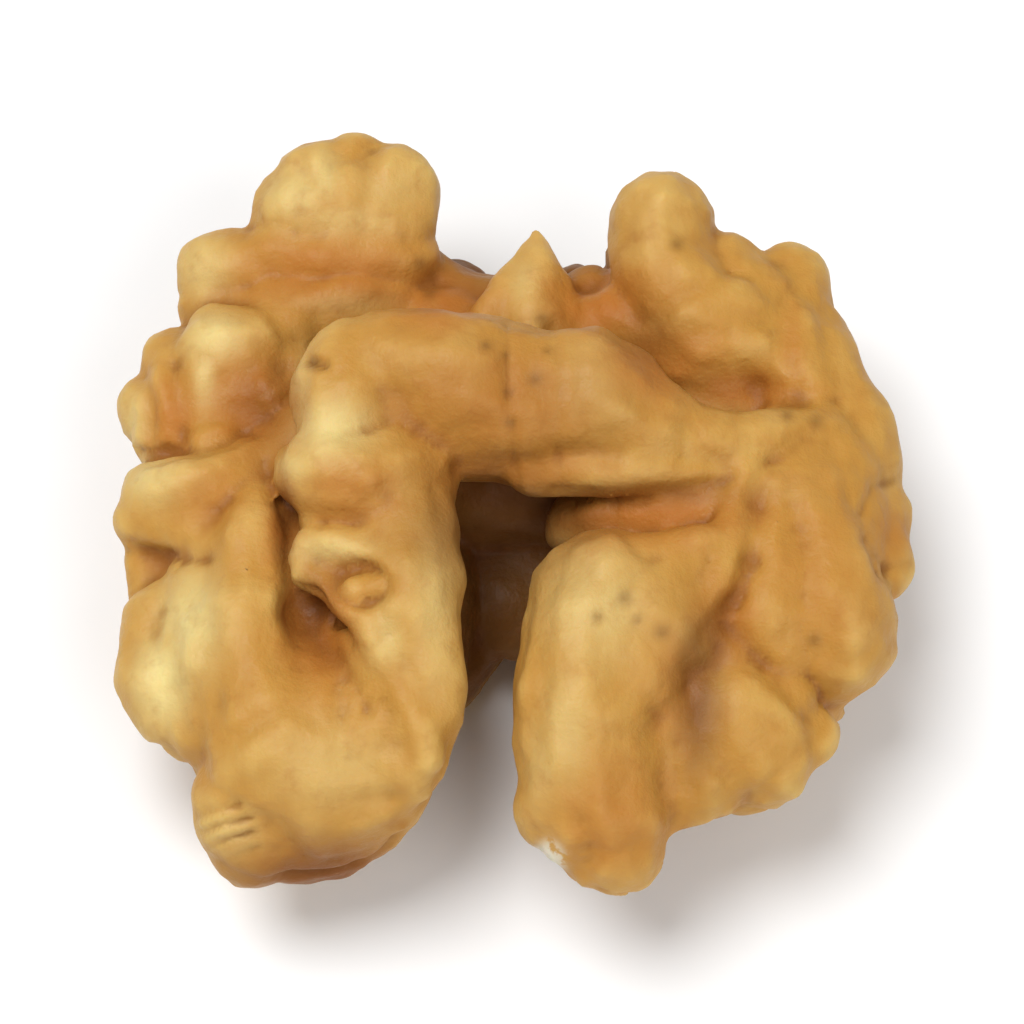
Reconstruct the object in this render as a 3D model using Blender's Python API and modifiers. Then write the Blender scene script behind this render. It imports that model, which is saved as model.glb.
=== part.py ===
# Walnut kernel: one half of the seed, lying on its rounded outer side with the inner face up.
# Metres, +Z up, +Y towards the pointed end of the nut. The origin is on the table under the middle.
import math
import random

import bmesh
import bpy
import numpy as np
from mathutils import Matrix, Vector, noise

MM = 0.001

# The kernel's real width. The sizes below are drawn a little larger, and seat() scales them to it.
KERNEL_WIDTH = 32.0

# Driving sizes of the drawing, in millimetres.
DOME_LENGTH = 30.4
DOME_WIDTH = 30.0
DOME_DEPTH = 8.6
RIM_HEIGHT = 9.0
REST_CUT = 0.6

# The folds of the inner face are laid out as the eye meets them, looking down at this angle above the
# table: across, up the view, and height of the fold's middle above the table.
VIEW_ANGLE = math.radians(62)
VIEW_HEIGHT = 10.0

BEAD_STEP = 0.55
VOXEL = 0.28
SMOOTH_ROUNDS = 3
LUMP_SIZE = 3.4
LUMP_HEIGHT = 0.32
MOST_TRIANGLES = 11500

SKIN_COLOUR = (0.62, 0.39, 0.16, 1.0)
SKIN_ROUGHNESS = 0.45

# Each fold is a list of (across, up the view, height, radius), in millimetres.
INNER_FOLDS = {
    "arch_left": [(0.2, 4.1, 12.4, 3.5), (-3.0, 4.7, 12.9, 3.6), (-5.4, 5.2, 13.2, 3.1)],
    "arch_right": [(0.0, 4.2, 12.4, 3.3), (3.0, 4.3, 12.8, 3.1), (5.2, 3.4, 12.6, 2.4),
                   (6.8, 2.8, 12.3, 1.8), (8.4, 2.5, 12.1, 1.6), (11.0, 2.7, 11.4, 1.7),
                   (12.8, 3.0, 10.6, 1.6)],
    "arch_lip": [(0.6, 1.4, 12.3, 1.1), (3.4, 1.4, 12.6, 1.1), (5.8, 1.35, 12.5, 1.1),
                 (8.4, 1.3, 12.1, 1.0), (9.8, 1.5, 11.6, 1.0)],
    "arch_corner": [(3.0, 5.1, 13.1, 2.4), (4.3, 4.8, 13.1, 2.1)],
    "knee": [(-6.6, 5.6, 13.7, 2.3), (-7.2, 4.8, 13.9, 2.3), (-7.0, 3.6, 13.8, 2.2),
             (-7.1, 2.6, 13.6, 2.0)],
    "knee_lower": [(-7.7, 1.4, 13.6, 2.0), (-6.2, 1.0, 13.6, 2.3), (-4.8, 1.4, 13.0, 2.3)],
    "knee_nub": [(-9.3, 1.8, 12.8, 0.9), (-8.6, 1.4, 13.0, 1.5)],
    "left_leg": [(-4.8, 2.6, 12.4, 2.6), (-4.9, -0.4, 12.5, 2.4), (-4.4, -3.2, 12.6, 2.4),
                 (-3.9, -6.0, 12.0, 2.0), (-4.0, -8.4, 11.2, 1.9), (-4.6, -10.4, 10.2, 2.0)],
    "valley_slope": [(-8.3, -5.2, 9.8, 1.7), (-7.8, -6.6, 10.4, 1.8), (-7.5, -7.8, 10.5, 2.1),
                     (-7.6, -9.2, 10.0, 2.5)],
    "valley_end": [(-6.7, -6.3, 11.2, 1.5), (-6.1, -7.3, 11.6, 1.6), (-5.8, -8.5, 11.3, 1.7),
                   (-6.2, -9.8, 10.5, 1.9)],
    "leg_back": [(-5.8, -1.6, 10.6, 2.6), (-5.0, -5.0, 9.6, 2.6), (-5.2, -8.4, 8.6, 2.8)],
    "curl_lip": [(-8.6, -2.2, 12.9, 0.7), (-8.3, -1.7, 13.1, 0.8), (-7.0, -1.7, 13.5, 0.9),
                 (-5.4, -2.2, 13.8, 0.9)],
    "curl_top": [(-7.5, -0.7, 12.6, 1.4), (-5.8, -0.6, 13.0, 1.6)],
    "curl_floor": [(-7.6, -2.8, 12.5, 1.2), (-6.2, -3.0, 12.5, 1.6)],
    "curl_nub": [(-6.7, -3.2, 13.6, 0.7), (-6.3, -3.5, 13.6, 0.7)],
    "leg_ridge": [(-8.4, -2.8, 12.9, 0.8), (-7.2, -3.7, 13.3, 0.8), (-6.1, -4.5, 13.4, 0.8),
                  (-5.3, -6.2, 13.0, 0.8), (-4.2, -8.2, 12.4, 0.9), (-3.6, -10.0, 11.4, 1.0)],
    "left_spur": [(-10.9, 1.0, 11.2, 0.8), (-11.0, -0.8, 11.3, 1.4), (-11.0, -3.4, 11.0, 2.0),
                  (-10.8, -6.2, 10.4, 2.5), (-10.0, -9.0, 9.5, 3.1)],
    "left_foot": [(-9.2, -10.4, 8.9, 3.6), (-7.8, -11.0, 8.6, 3.7), (-6.2, -11.0, 8.8, 3.1)],
    "left_foot_under": [(-9.2, -12.8, 6.6, 3.1), (-7.8, -13.2, 6.4, 2.6)],
    "left_foot_heel": [(-10.9, -12.4, 8.0, 2.5), (-11.0, -13.8, 6.9, 2.2), (-9.8, -13.0, 7.8, 2.2)],
    "left_flank_outer": [(-14.5, -4.5, 9.0, 1.5), (-14.9, -6.0, 8.6, 1.6), (-14.4, -7.8, 8.4, 2.1),
                         (-13.5, -8.8, 7.9, 1.9)],
    "left_flank_lump": [(-12.9, -5.4, 10.6, 1.3), (-12.8, -6.6, 10.5, 1.4)],
    "left_flank_inner": [(-13.0, -3.0, 9.9, 1.6), (-12.9, -6.0, 9.6, 2.0), (-12.4, -8.8, 8.8, 2.2)],
    "left_flank_back": [(-15.0, -2.4, 7.8, 1.6), (-15.2, -3.9, 7.4, 1.6)],
    "left_ear": [(-15.9, 0.8, 9.6, 1.0), (-14.8, 0.4, 10.2, 1.8), (-12.8, 0.6, 10.6, 2.0),
                 (-11.2, 1.4, 10.5, 1.6)],
    "left_ear_lower": [(-15.4, -0.6, 9.4, 1.6), (-13.0, -1.0, 10.0, 1.9)],
    "left_shoulder": [(-12.6, 6.6, 10.4, 2.2), (-11.6, 6.4, 10.4, 2.3), (-10.6, 5.6, 10.0, 2.1)],
    "left_shoulder_ridge": [(-13.0, 6.6, 10.6, 1.8), (-13.4, 4.8, 10.2, 1.5), (-13.4, 3.2, 9.9, 1.3)],
    "left_shoulder_side": [(-14.5, 6.2, 9.3, 1.8), (-14.5, 4.2, 9.6, 2.0), (-14.9, 2.8, 9.4, 1.7)],
    "left_shoulder_bump": [(-15.5, 4.1, 9.0, 1.7), (-15.6, 3.6, 8.8, 1.5)],
    "left_shoulder_fold": [(-12.4, 4.4, 9.8, 1.9), (-10.8, 4.4, 10.1, 2.1)],
    "under_brow": [(-13.2, 8.4, 9.3, 1.6), (-11.4, 8.2, 9.8, 1.6), (-10.0, 7.4, 10.2, 1.7)],
    "left_brow": [(-13.0, 10.1, 9.3, 2.0), (-12.0, 10.1, 9.6, 2.2), (-10.0, 10.1, 9.5, 2.1),
                  (-7.6, 10.1, 9.5, 2.1), (-5.2, 10.0, 9.0, 2.0), (-2.6, 9.0, 8.4, 1.7)],
    "left_brow_pleat": [(-9.8, 8.1, 10.7, 0.9), (-8.4, 8.8, 11.0, 0.9), (-7.0, 9.2, 11.0, 0.9),
                        (-5.4, 9.0, 10.4, 0.9)],
    "left_crown_side": [(-10.0, 13.4, 10.8, 1.7), (-9.9, 12.0, 10.4, 1.9)],
    "left_crown_middle": [(-8.6, 13.8, 11.0, 2.4), (-8.4, 11.9, 10.7, 2.4)],
    "left_crown_ridge": [(-7.1, 14.7, 11.4, 1.7), (-7.2, 12.6, 11.3, 1.8)],
    "left_crown_front": [(-5.5, 13.7, 11.2, 2.2), (-5.6, 12.0, 10.8, 2.1)],
    "root_tip": [(0.9, 11.8, 11.2, 0.4), (1.0, 11.0, 11.0, 0.8), (0.9, 10.0, 10.8, 1.3),
                 (0.8, 8.8, 10.4, 1.7), (0.6, 7.6, 10.0, 2.2)],
    "root_tip_left": [(0.6, 11.2, 11.1, 0.5), (-0.1, 9.8, 11.1, 0.8), (-0.8, 8.4, 10.9, 1.0),
                      (-1.2, 7.4, 10.6, 1.2)],
    "root_tip_right": [(1.8, 9.6, 10.6, 0.8), (2.0, 8.2, 10.6, 0.9)],
    "saddle": [(-6.0, 8.2, 7.6, 2.2), (-2.0, 8.4, 7.6, 1.8), (2.0, 8.2, 7.6, 1.8), (6.0, 8.0, 7.8, 2.0)],
    "skyline_left": [(-4.6, 9.4, 9.0, 1.6), (-3.6, 9.7, 9.2, 1.3), (-2.6, 9.1, 8.8, 1.5),
                     (-0.8, 8.9, 8.8, 1.5)],
    "skyline_right": [(2.0, 8.8, 8.8, 1.4), (3.3, 9.4, 9.2, 1.3), (3.8, 8.9, 9.0, 1.5),
                      (5.4, 9.2, 9.4, 1.6)],
    "right_crown": [(6.35, 12.2, 11.4, 2.5), (6.5, 10.6, 11.2, 2.4), (7.2, 8.8, 11.0, 2.4)],
    "right_crown_body": [(7.9, 7.9, 11.1, 2.2), (9.3, 7.8, 11.0, 2.0)],
    "right_crown_corner": [(8.2, 6.9, 11.3, 1.4), (9.8, 6.8, 11.3, 1.4), (10.3, 6.3, 11.1, 1.1),
                           (10.3, 7.8, 11.0, 1.4)],
    "right_crown_foot": [(4.6, 8.0, 10.0, 1.6), (6.2, 7.4, 10.2, 1.8), (7.4, 6.3, 10.2, 1.7),
                         (9.2, 5.5, 10.1, 1.6)],
    "right_crown_back": [(9.0, 10.2, 10.4, 1.9), (10.6, 8.9, 10.4, 1.9)],
    "right_knob": [(12.0, 9.8, 9.8, 1.8), (12.0, 8.2, 9.6, 2.0)],
    "right_shoulder": [(11.6, 7.4, 10.2, 1.9), (11.9, 5.8, 10.2, 2.0), (12.4, 4.4, 10.1, 1.9)],
    "right_rim": [(12.6, 7.2, 9.4, 2.0), (13.1, 5.6, 9.4, 2.2), (13.8, 3.8, 9.2, 2.3),
                  (14.3, 1.6, 8.8, 2.4)],
    "right_rim_low": [(14.3, 1.6, 8.8, 2.3), (14.8, -0.4, 8.6, 1.9), (14.8, -2.4, 8.4, 2.0)],
    "right_rim_spot": [(15.7, -0.2, 8.4, 1.2), (15.6, -1.4, 8.2, 1.2)],
    "right_cheek": [(11.8, 2.4, 10.2, 2.2), (12.0, -0.4, 10.4, 2.6), (12.7, -3.2, 9.8, 2.9),
                    (13.2, -5.4, 9.0, 3.0)],
    "right_cheek_inner": [(10.9, 0.2, 11.1, 1.8), (10.7, -2.0, 11.0, 2.0), (10.3, -4.2, 10.6, 2.1),
                          (9.8, -5.8, 9.8, 2.0)],
    "groove_ledge": [(9.7, 0.3, 11.4, 1.5), (7.8, -0.2, 11.0, 1.6), (5.8, -0.5, 10.3, 1.9),
                     (4.1, -0.7, 9.5, 2.0), (3.2, -0.9, 8.7, 1.9)],
    "right_leg_top": [(3.0, -2.4, 11.8, 1.5), (5.6, -2.4, 12.0, 1.4), (8.0, -2.0, 12.0, 1.2)],
    "right_leg": [(3.5, -3.7, 11.2, 2.9), (2.9, -6.4, 11.0, 3.0), (2.8, -9.4, 10.2, 3.1),
                  (3.0, -12.0, 9.0, 3.1)],
    "right_foot": [(3.9, -12.6, 8.8, 2.5), (4.0, -13.8, 8.0, 2.4)],
    "right_foot_toe": [(1.6, -12.2, 9.2, 1.8), (1.5, -12.8, 8.8, 1.5)],
    "right_leg_face": [(6.4, -3.1, 11.4, 2.1), (5.4, -5.0, 11.3, 2.3), (4.4, -7.2, 11.0, 2.4)],
    "right_leg_edge": [(9.4, 1.6, 12.0, 1.2), (9.2, 0.0, 12.1, 0.9), (8.9, -1.8, 12.2, 0.9),
                       (8.2, -3.2, 12.3, 0.9), (6.6, -5.0, 12.2, 0.9), (5.2, -6.8, 11.9, 1.1),
                       (4.4, -8.4, 11.4, 1.4)],
    "right_leg_back": [(10.4, 0.6, 11.5, 1.3), (10.2, -0.8, 11.3, 1.3), (10.2, -2.2, 10.9, 1.3)],
    "leg_to_fan": [(5.7, -8.8, 9.6, 2.0), (6.3, -10.4, 9.1, 2.0), (6.3, -11.6, 8.6, 1.9)],
    "fan_fold": [(7.4, -6.0, 9.8, 1.3), (7.4, -8.4, 9.5, 1.7), (7.6, -11.2, 8.5, 2.1)],
    "fan": [(8.8, -6.6, 9.4, 1.9), (9.6, -8.6, 8.9, 2.5), (10.1, -10.0, 8.3, 2.6)],
    "fan_tip": [(11.5, -9.6, 8.3, 1.8), (12.4, -10.2, 7.9, 0.9)],
}

# Flesh that closes the ground between the folds: (across, up the view, height) of each middle, then the
# three half sizes.
INNER_LOBES = {
    "groove_floor": ((6.7, 0.0, 8.9), (4.5, 2.8, 2.2)),
    "leg_bed": ((8.5, -4.4, 9.7), (3.6, 4.4, 2.4)),
    "spur_bed": ((-10.0, -3.6, 9.0), (4.6, 6.0, 2.8)),
    "knee_bed": ((-8.6, 1.4, 9.8), (3.4, 3.6, 2.6)),
    "shoulder_bed": ((-10.8, 4.2, 8.8), (4.4, 4.2, 2.4)),
    "brow_bed": ((-8.4, 8.5, 9.3), (5.0, 3.0, 2.4)),
    "brow_face": ((-7.8, 10.8, 10.5), (4.6, 2.0, 2.2)),
    "cheek_bed": ((11.4, -3.4, 8.0), (4.2, 6.0, 2.8)),
    "crown_bed": ((9.6, 6.2, 8.8), (4.6, 4.4, 2.6)),
    "apex_left": ((-3.2, 7.4, 8.6), (3.6, 2.2, 2.4)),
    "apex_right": ((3.6, 7.2, 8.6), (3.6, 2.2, 2.4)),
    "flank_bed": ((-12.6, -4.6, 7.4), (3.4, 5.6, 2.4)),
    "flank_face": ((-12.3, -3.4, 10.0), (2.0, 4.6, 2.0)),
    "leg_face": ((5.3, -4.5, 11.3), (3.5, 3.0, 2.4)),
    "cheek_face": ((12.6, -0.4, 9.7), (3.3, 5.6, 2.6)),
    "fan_face": ((9.2, -8.6, 9.1), (3.3, 3.6, 2.4)),
    "ear_face": ((-13.2, 0.2, 10.0), (3.0, 2.0, 2.1)),
    "crown_face": ((-7.6, 12.8, 11.1), (3.8, 3.0, 2.3)),
}

# Flesh in the middle of the kernel: (across, along, height) of each middle, then the three half sizes.
CORE_LOBES = {
    "lower_left": ((-8.8, -6.4, 6.4), (5.6, 7.4, 4.4)),
    "lower_right": ((8.6, -5.6, 6.4), (5.6, 7.2, 4.4)),
    "left_belly": ((-6.0, -2.4, 4.8), (4.4, 6.4, 3.4)),
    "right_belly": ((6.0, -2.0, 4.8), (4.4, 6.4, 3.4)),
    "upper_left": ((-8.6, 6.0, 6.4), (5.0, 6.6, 3.6)),
    "upper_right": ((8.4, 5.8, 6.4), (5.0, 6.4, 3.6)),
    "left_waist": ((-9.6, 0.0, 6.4), (5.0, 6.0, 4.0)),
    "right_waist": ((9.6, 0.0, 6.4), (5.0, 6.0, 4.0)),
    "bridge": ((0.0, 4.6, 6.0), (7.0, 4.4, 3.6)),
    "hollow_floor": ((0.0, 0.4, 3.8), (5.0, 4.6, 1.9)),
}

# The outer side: on each half a ridge runs beside the middle groove, and ribs wind from it to the rim.
# Towards the base the two ridges part, round the notch where the nut's partition stood.
RIB_COUNT = 8
RIB_RADIUS = 2.0
RIB_STATIONS = 8
RIB_START = math.radians(27)
RIB_END = math.radians(96)
RIB_WANDER = 0.9
RIB_SEED = 11
RIDGE_RADIUS = 2.0
RIDGE_STATIONS = 10
RIDGE_BASE = -10.6
RIDGE_TOP = 10.0
GROOVE_HALF = 2.1
NOTCH_HALF = 6.2
NOTCH_TOP = -3.0
RIGHT_SHIFT = 1.0
RIGHT_SHRINK = 0.95

# Winding grooves pressed into the outer side and the rim: one set across it, one along it.
GROOVE_PITCH = 4.6
GROOVE_DEPTH = 1.3
CROSS_PITCH = 5.6
CROSS_DEPTH = 0.7
GROOVE_WIND = 1.2
WIND_SIZE = 6.0
GROOVED_BELOW = 6.0
GROOVES_FADE = 2.6

# Creases drawn on the inner face: depth and half width, then their route as (across, up the view), all in
# millimetres. They mark only skin that stands above CREASED_ABOVE and faces the eye.
CREASED_ABOVE = 8.4
CREASES = {
    "arch_middle": (0.25, 0.30, [(-0.3, 8.0), (-0.3, 5.9), (-0.1, 3.4), (0.1, 0.6)]),
    "arch_seam": (0.25, 0.30, [(1.4, 7.6), (1.9, 5.4), (1.7, 2.6), (1.9, 0.6)]),
    "arch_to_knee": (0.25, 0.50, [(-5.8, 6.4), (-4.9, 4.6), (-3.8, 2.6), (-2.4, 0.8)]),
        "knee_pit": (0.45, 0.30, [(-8.5, 6.0), (-8.0, 5.9)]),
    "arch_end": (0.10, 0.40, [(7.0, 4.2), (8.6, 3.2), (9.8, 2.0)]),
    "under_arch": (0.20, 0.35, [(1.6, 0.5), (4.4, 0.5), (7.0, 0.7), (9.0, 1.2)]),
    "crown_left": (0.14, 0.50, [(-9.2, 15.0), (-9.3, 13.4), (-9.6, 12.0)]),
    "crown_middle": (0.12, 0.45, [(-8.0, 15.4), (-7.9, 13.2), (-8.2, 11.6)]),
    "crown_right": (0.12, 0.50, [(-6.3, 15.4), (-6.3, 13.4), (-6.6, 11.8)]),
    "crown_foot": (0.12, 0.70, [(-11.6, 12.2), (-9.0, 11.5), (-6.0, 11.5), (-3.6, 11.6)]),
    "brow_lower": (0.22, 0.60, [(-14.6, 8.5), (-12.4, 8.7), (-10.4, 8.5), (-9.6, 7.2), (-9.8, 5.4)]),
    "shoulder_hollow": (0.30, 1.00, [(-11.6, 4.2), (-10.6, 3.6)]),
    "shoulder_side": (0.20, 0.40, [(-14.6, 6.0), (-14.4, 4.4), (-14.0, 2.6)]),
    "bump_side": (0.25, 0.40, [(-16.0, 5.6), (-15.6, 4.4), (-15.6, 2.4)]),
    "ear_top": (0.30, 0.35, [(-16.6, 2.2), (-14.0, 2.4), (-12.0, 2.8), (-10.4, 3.2)]),
    "ear_under": (0.35, 0.40, [(-16.6, -1.9), (-14.4, -2.2), (-13.0, -2.0)]),
    "flank_outer": (0.20, 0.45, [(-13.9, -5.2), (-13.8, -7.0), (-13.5, -9.2)]),
    "flank_inner": (0.15, 0.50, [(-12.2, -4.6), (-11.9, -6.4), (-12.0, -8.0)]),
    "heel_first": (0.14, 0.30, [(-12.8, -12.0), (-11.6, -12.6), (-10.4, -12.4)]),
    "heel_second": (0.14, 0.30, [(-13.2, -13.2), (-11.8, -13.4), (-10.6, -13.2)]),
    "heel_third": (0.14, 0.30, [(-12.8, -14.6), (-11.6, -14.2), (-10.8, -13.6)]),
    "foot_under": (0.25, 0.50, [(-9.6, -14.3), (-8.4, -14.6), (-6.0, -14.4), (-4.4, -13.2)]),
    "leg_valley": (0.60, 0.80, [(-8.8, -4.2), (-8.0, -5.4), (-7.0, -6.6), (-6.2, -8.0)]),
    "right_leg_under": (0.25, 0.50, [(9.6, -2.2), (9.2, -3.6), (7.8, -5.2), (6.4, -6.8), (5.6, -8.2)]),
    "foot_crease": (0.20, 0.45, [(6.6, -9.6), (6.6, -12.0), (6.8, -14.0)]),
    "fan_first": (0.10, 0.45, [(8.2, -5.6), (8.3, -8.0), (8.4, -9.6)]),
    "fan_second": (0.30, 0.45, [(8.6, -4.8), (10.2, -6.6), (11.6, -8.0), (12.6, -9.0)]),
    "toe": (0.35, 0.40, [(2.2, -12.4), (2.9, -13.4), (2.6, -15.0)]),
    "right_crown_corner": (0.12, 0.30, [(9.1, 7.6), (9.0, 6.6), (9.2, 5.4)]),
    "right_crown_edge": (0.20, 0.45, [(11.7, 8.2), (11.7, 6.8), (11.8, 5.2)]),
    "right_crown_under": (0.25, 0.60, [(4.6, 9.0), (5.9, 6.8), (7.4, 5.4), (10.0, 5.0), (12.0, 5.0)]),
    "rim_spot_upper": (0.20, 0.35, [(14.6, -0.2), (15.2, 0.9), (17.0, 1.2)]),
    "rim_spot_lower": (0.25, 0.35, [(14.6, -1.4), (15.2, -2.7), (16.8, -2.6)]),
}


def in_view(across, up, height):
    """A point of the kernel, from where the eye sees it and how high it stands above the table."""
    along = (up - math.cos(VIEW_ANGLE) * (height - VIEW_HEIGHT)) / math.sin(VIEW_ANGLE)
    return Vector((across, along, height))


def smooth_route(stations):
    """Points close together on a Catmull-Rom curve through (point, radius) stations."""
    rows = [Vector((*point, radius)) for point, radius in stations]
    rows = [2 * rows[0] - rows[1], *rows, 2 * rows[-1] - rows[-2]]
    made = []
    for before, start, end, after in zip(rows, rows[1:], rows[2:], rows[3:]):
        count = max(1, round((end - start).length / BEAD_STEP))
        for i in range(count):
            t = i / count
            bend = (2 * before - 5 * start + 4 * end - after) * t**2
            twist = (3 * start - before - 3 * end + after) * t**3
            made.append(0.5 * (2 * start + (end - before) * t + bend + twist))
    return [*made, rows[-2]]


def add_ellipsoid(bm, middle, half_sizes, subdivisions):
    place = Matrix.Translation(Vector(middle) * MM) @ Matrix.Diagonal(Vector(half_sizes) * MM).to_4x4()
    bmesh.ops.create_icosphere(bm, subdivisions=subdivisions, radius=1.0, matrix=place)


def add_fold(flesh, stations):
    """A fold is a row of round beads, close enough to merge, along its route."""
    bm = bmesh.new()
    for across, along, height, radius in smooth_route(stations):
        add_ellipsoid(bm, (across, along, height), (radius, radius, radius), subdivisions=2)
    fold = bpy.data.meshes.new("fold")
    bm.to_mesh(fold)
    bm.free()
    flesh.from_mesh(fold)
    bpy.data.meshes.remove(fold)


def on_dome(side, angle, along, sink):
    """A point on the rounded outer side: angle turns from straight down towards the rim."""
    taper = math.sqrt(max(0.05, 1 - (2 * along / DOME_LENGTH) ** 2))
    reach = DOME_WIDTH / 2 * taper - sink
    drop = DOME_DEPTH * taper - sink
    if side > 0:
        along = along * RIGHT_SHRINK + RIGHT_SHIFT
    return Vector((side * reach * math.sin(angle), along, RIM_HEIGHT - drop * math.cos(angle)))


def middle_ridge(side):
    """The ridge beside the middle groove, which bends out round the notch at the base."""
    stations = []
    for i in range(RIDGE_STATIONS):
        t = i / (RIDGE_STATIONS - 1)
        along = RIDGE_BASE + (RIDGE_TOP - RIDGE_BASE) * t
        radius = RIDGE_RADIUS * (1 + 0.14 * math.sin(i * 2.4 + side))
        parting = min(1.0, max(0.0, (NOTCH_TOP - along) / 4))
        across = GROOVE_HALF + (NOTCH_HALF - GROOVE_HALF) * parting + 0.35 * math.sin(i * 1.7 + 2 * side)
        point = on_dome(side, 0.0, along, radius)
        point.x = side * across
        stations.append((point, radius))
    return stations


def rib(side, middle, phase, lean):
    """One rib of the outer side, winding from beside the middle ridge up to the rim."""
    stations = []
    for j in range(RIB_STATIONS):
        t = j / (RIB_STATIONS - 1)
        radius = RIB_RADIUS * (1 + 0.16 * math.sin(phase * 2 + t * 11.0))
        along = middle * (1 - 0.08 * t) + lean * (t - 0.5) + RIB_WANDER * math.sin(phase + t * 5.5)
        point = on_dome(side, RIB_START + (RIB_END - RIB_START) * t, along, radius)
        if point.y < NOTCH_TOP:
            point.x = side * max(abs(point.x), NOTCH_HALF)
        stations.append((point, radius))
    return stations


def outer_folds():
    """The ridges and ribs of the outer side, wandering by a seeded draw."""
    draw = random.Random(RIB_SEED)
    folds = [middle_ridge(side) for side in (-1, 1)]
    for side in (-1, 1):
        for k in range(RIB_COUNT):
            middle = DOME_LENGTH * ((k + 0.5) / RIB_COUNT - 0.5) * 0.92
            folds.append(rib(side, middle, draw.uniform(0, math.tau), draw.uniform(-1.5, 1.5)))
    return folds


def raw_flesh():
    """Every lobe, fold and rib as overlapping closed shapes in one mesh."""
    flesh = bmesh.new()
    for middle, half_sizes in CORE_LOBES.values():
        add_ellipsoid(flesh, middle, half_sizes, subdivisions=3)
    for middle, half_sizes in INNER_LOBES.values():
        add_ellipsoid(flesh, in_view(*middle), half_sizes, subdivisions=3)
    for stations in INNER_FOLDS.values():
        add_fold(flesh, [(in_view(*row[:3]), row[3]) for row in stations])
    for stations in outer_folds():
        add_fold(flesh, stations)
    mesh = bpy.data.meshes.new("kernel")
    flesh.to_mesh(mesh)
    flesh.free()
    return mesh


def merged(obj, voxel):
    """One skin over the overlapping shapes, its creases eased."""
    remesh = obj.modifiers.new("one_skin", "REMESH")
    remesh.mode = "VOXEL"
    remesh.voxel_size = voxel * MM
    smooth = obj.modifiers.new("ease", "SMOOTH")
    smooth.factor = 0.5
    smooth.iterations = SMOOTH_ROUNDS


def applied(obj):
    """The object with its modifiers made part of its mesh."""
    graph = bpy.context.evaluated_depsgraph_get()
    mesh = bpy.data.meshes.new_from_object(obj.evaluated_get(graph))
    obj.modifiers.clear()
    old = obj.data
    obj.data = mesh
    bpy.data.meshes.remove(old)
    mesh.name = obj.name


def groove(position, wind):
    """1 on the line of a groove, falling off steeply to 0 between the lines."""
    return (1 - abs(math.sin(math.pi * (position + wind)))) ** 2


def groove_depth(spot):
    """How deep the winding grooves are pressed in at a point of the outer side, in millimetres."""
    share = min(1.0, max(0.0, (GROOVED_BELOW + GROOVES_FADE - spot.z) / GROOVES_FADE))
    beside = min(1.0, max(0.0, abs(spot.x) / GROOVE_HALF - 1.0))
    wind = GROOVE_WIND * noise.noise(spot / WIND_SIZE)
    cross_wind = GROOVE_WIND * noise.noise(spot / WIND_SIZE + Vector((5.0, 9.0, 2.0)))
    girth = DOME_WIDTH / 2 * math.atan2(spot.x, RIM_HEIGHT + 2.0 - min(spot.z, RIM_HEIGHT))
    along = GROOVE_DEPTH * groove(spot.y / GROOVE_PITCH, wind)
    around = CROSS_DEPTH * groove(girth / CROSS_PITCH, cross_wind)
    return share * beside * (along + around)


def crease_depths(points, normals):
    """How deep the drawn creases are pressed in at each point of the inner face, in millimetres."""
    across = points[:, 0]
    up = points[:, 1] * math.sin(VIEW_ANGLE) + (points[:, 2] - VIEW_HEIGHT) * math.cos(VIEW_ANGLE)
    facing = -normals[:, 1] * math.cos(VIEW_ANGLE) + normals[:, 2] * math.sin(VIEW_ANGLE)
    shown = np.clip(facing * 2.5, 0, 1) * np.clip(points[:, 2] - CREASED_ABOVE, 0, 1)
    deepest = np.zeros(len(points))
    for depth, half_width, route in CREASES.values():
        gap = np.full(len(points), np.inf)
        for (a0, u0), (a1, u1) in zip(route, route[1:]):
            length_squared = (a1 - a0) ** 2 + (u1 - u0) ** 2
            t = np.clip(((across - a0) * (a1 - a0) + (up - u0) * (u1 - u0)) / length_squared, 0, 1)
            gap = np.minimum(gap, np.hypot(across - a0 - t * (a1 - a0), up - u0 - t * (u1 - u0)))
        deepest = np.maximum(deepest, depth * np.exp(-((gap / half_width) ** 2)))
    return deepest * shown


def swell(obj):
    """Uneven flesh, and the grooves and creases: every point moves in or out along its normal."""
    points = np.array([v.co for v in obj.data.vertices]) / MM
    normals = np.array([v.normal for v in obj.data.vertices])
    creases = crease_depths(points, normals)
    for vertex, normal, crease in zip(obj.data.vertices, normals, creases):
        spot = vertex.co / MM
        wide = noise.noise(spot / LUMP_SIZE)
        narrow = noise.noise(spot / (LUMP_SIZE / 2) + Vector((7.0, 3.0, 1.0)))
        rise = LUMP_HEIGHT * (wide + 0.5 * narrow)
        vertex.co += Vector(normal) * ((rise - groove_depth(spot) - crease) * MM)


def keep_largest(obj):
    """Drops the loose crumbs and inner bubbles that merging leaves, so that one closed skin is left."""
    bm = bmesh.new()
    bm.from_mesh(obj.data)
    islands = []
    left = set(bm.verts)
    while left:
        start = left.pop()
        island, edge = {start}, [start]
        while edge:
            for link in edge.pop().link_edges:
                for vertex in link.verts:
                    if vertex not in island:
                        island.add(vertex)
                        edge.append(vertex)
        left -= island
        islands.append(island)
    islands.sort(key=len)
    for crumb in islands[:-1]:
        bmesh.ops.delete(bm, geom=list(crumb), context="VERTS")
    bm.to_mesh(obj.data)
    bm.free()


def thin_out(obj, triangles):
    """Fewer triangles, kept where the surface bends most."""
    obj.data.calc_loop_triangles()
    decimate = obj.modifiers.new("fewer", "DECIMATE")
    decimate.ratio = min(1.0, triangles / len(obj.data.loop_triangles))
    decimate.use_collapse_triangulate = True
    applied(obj)


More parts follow.
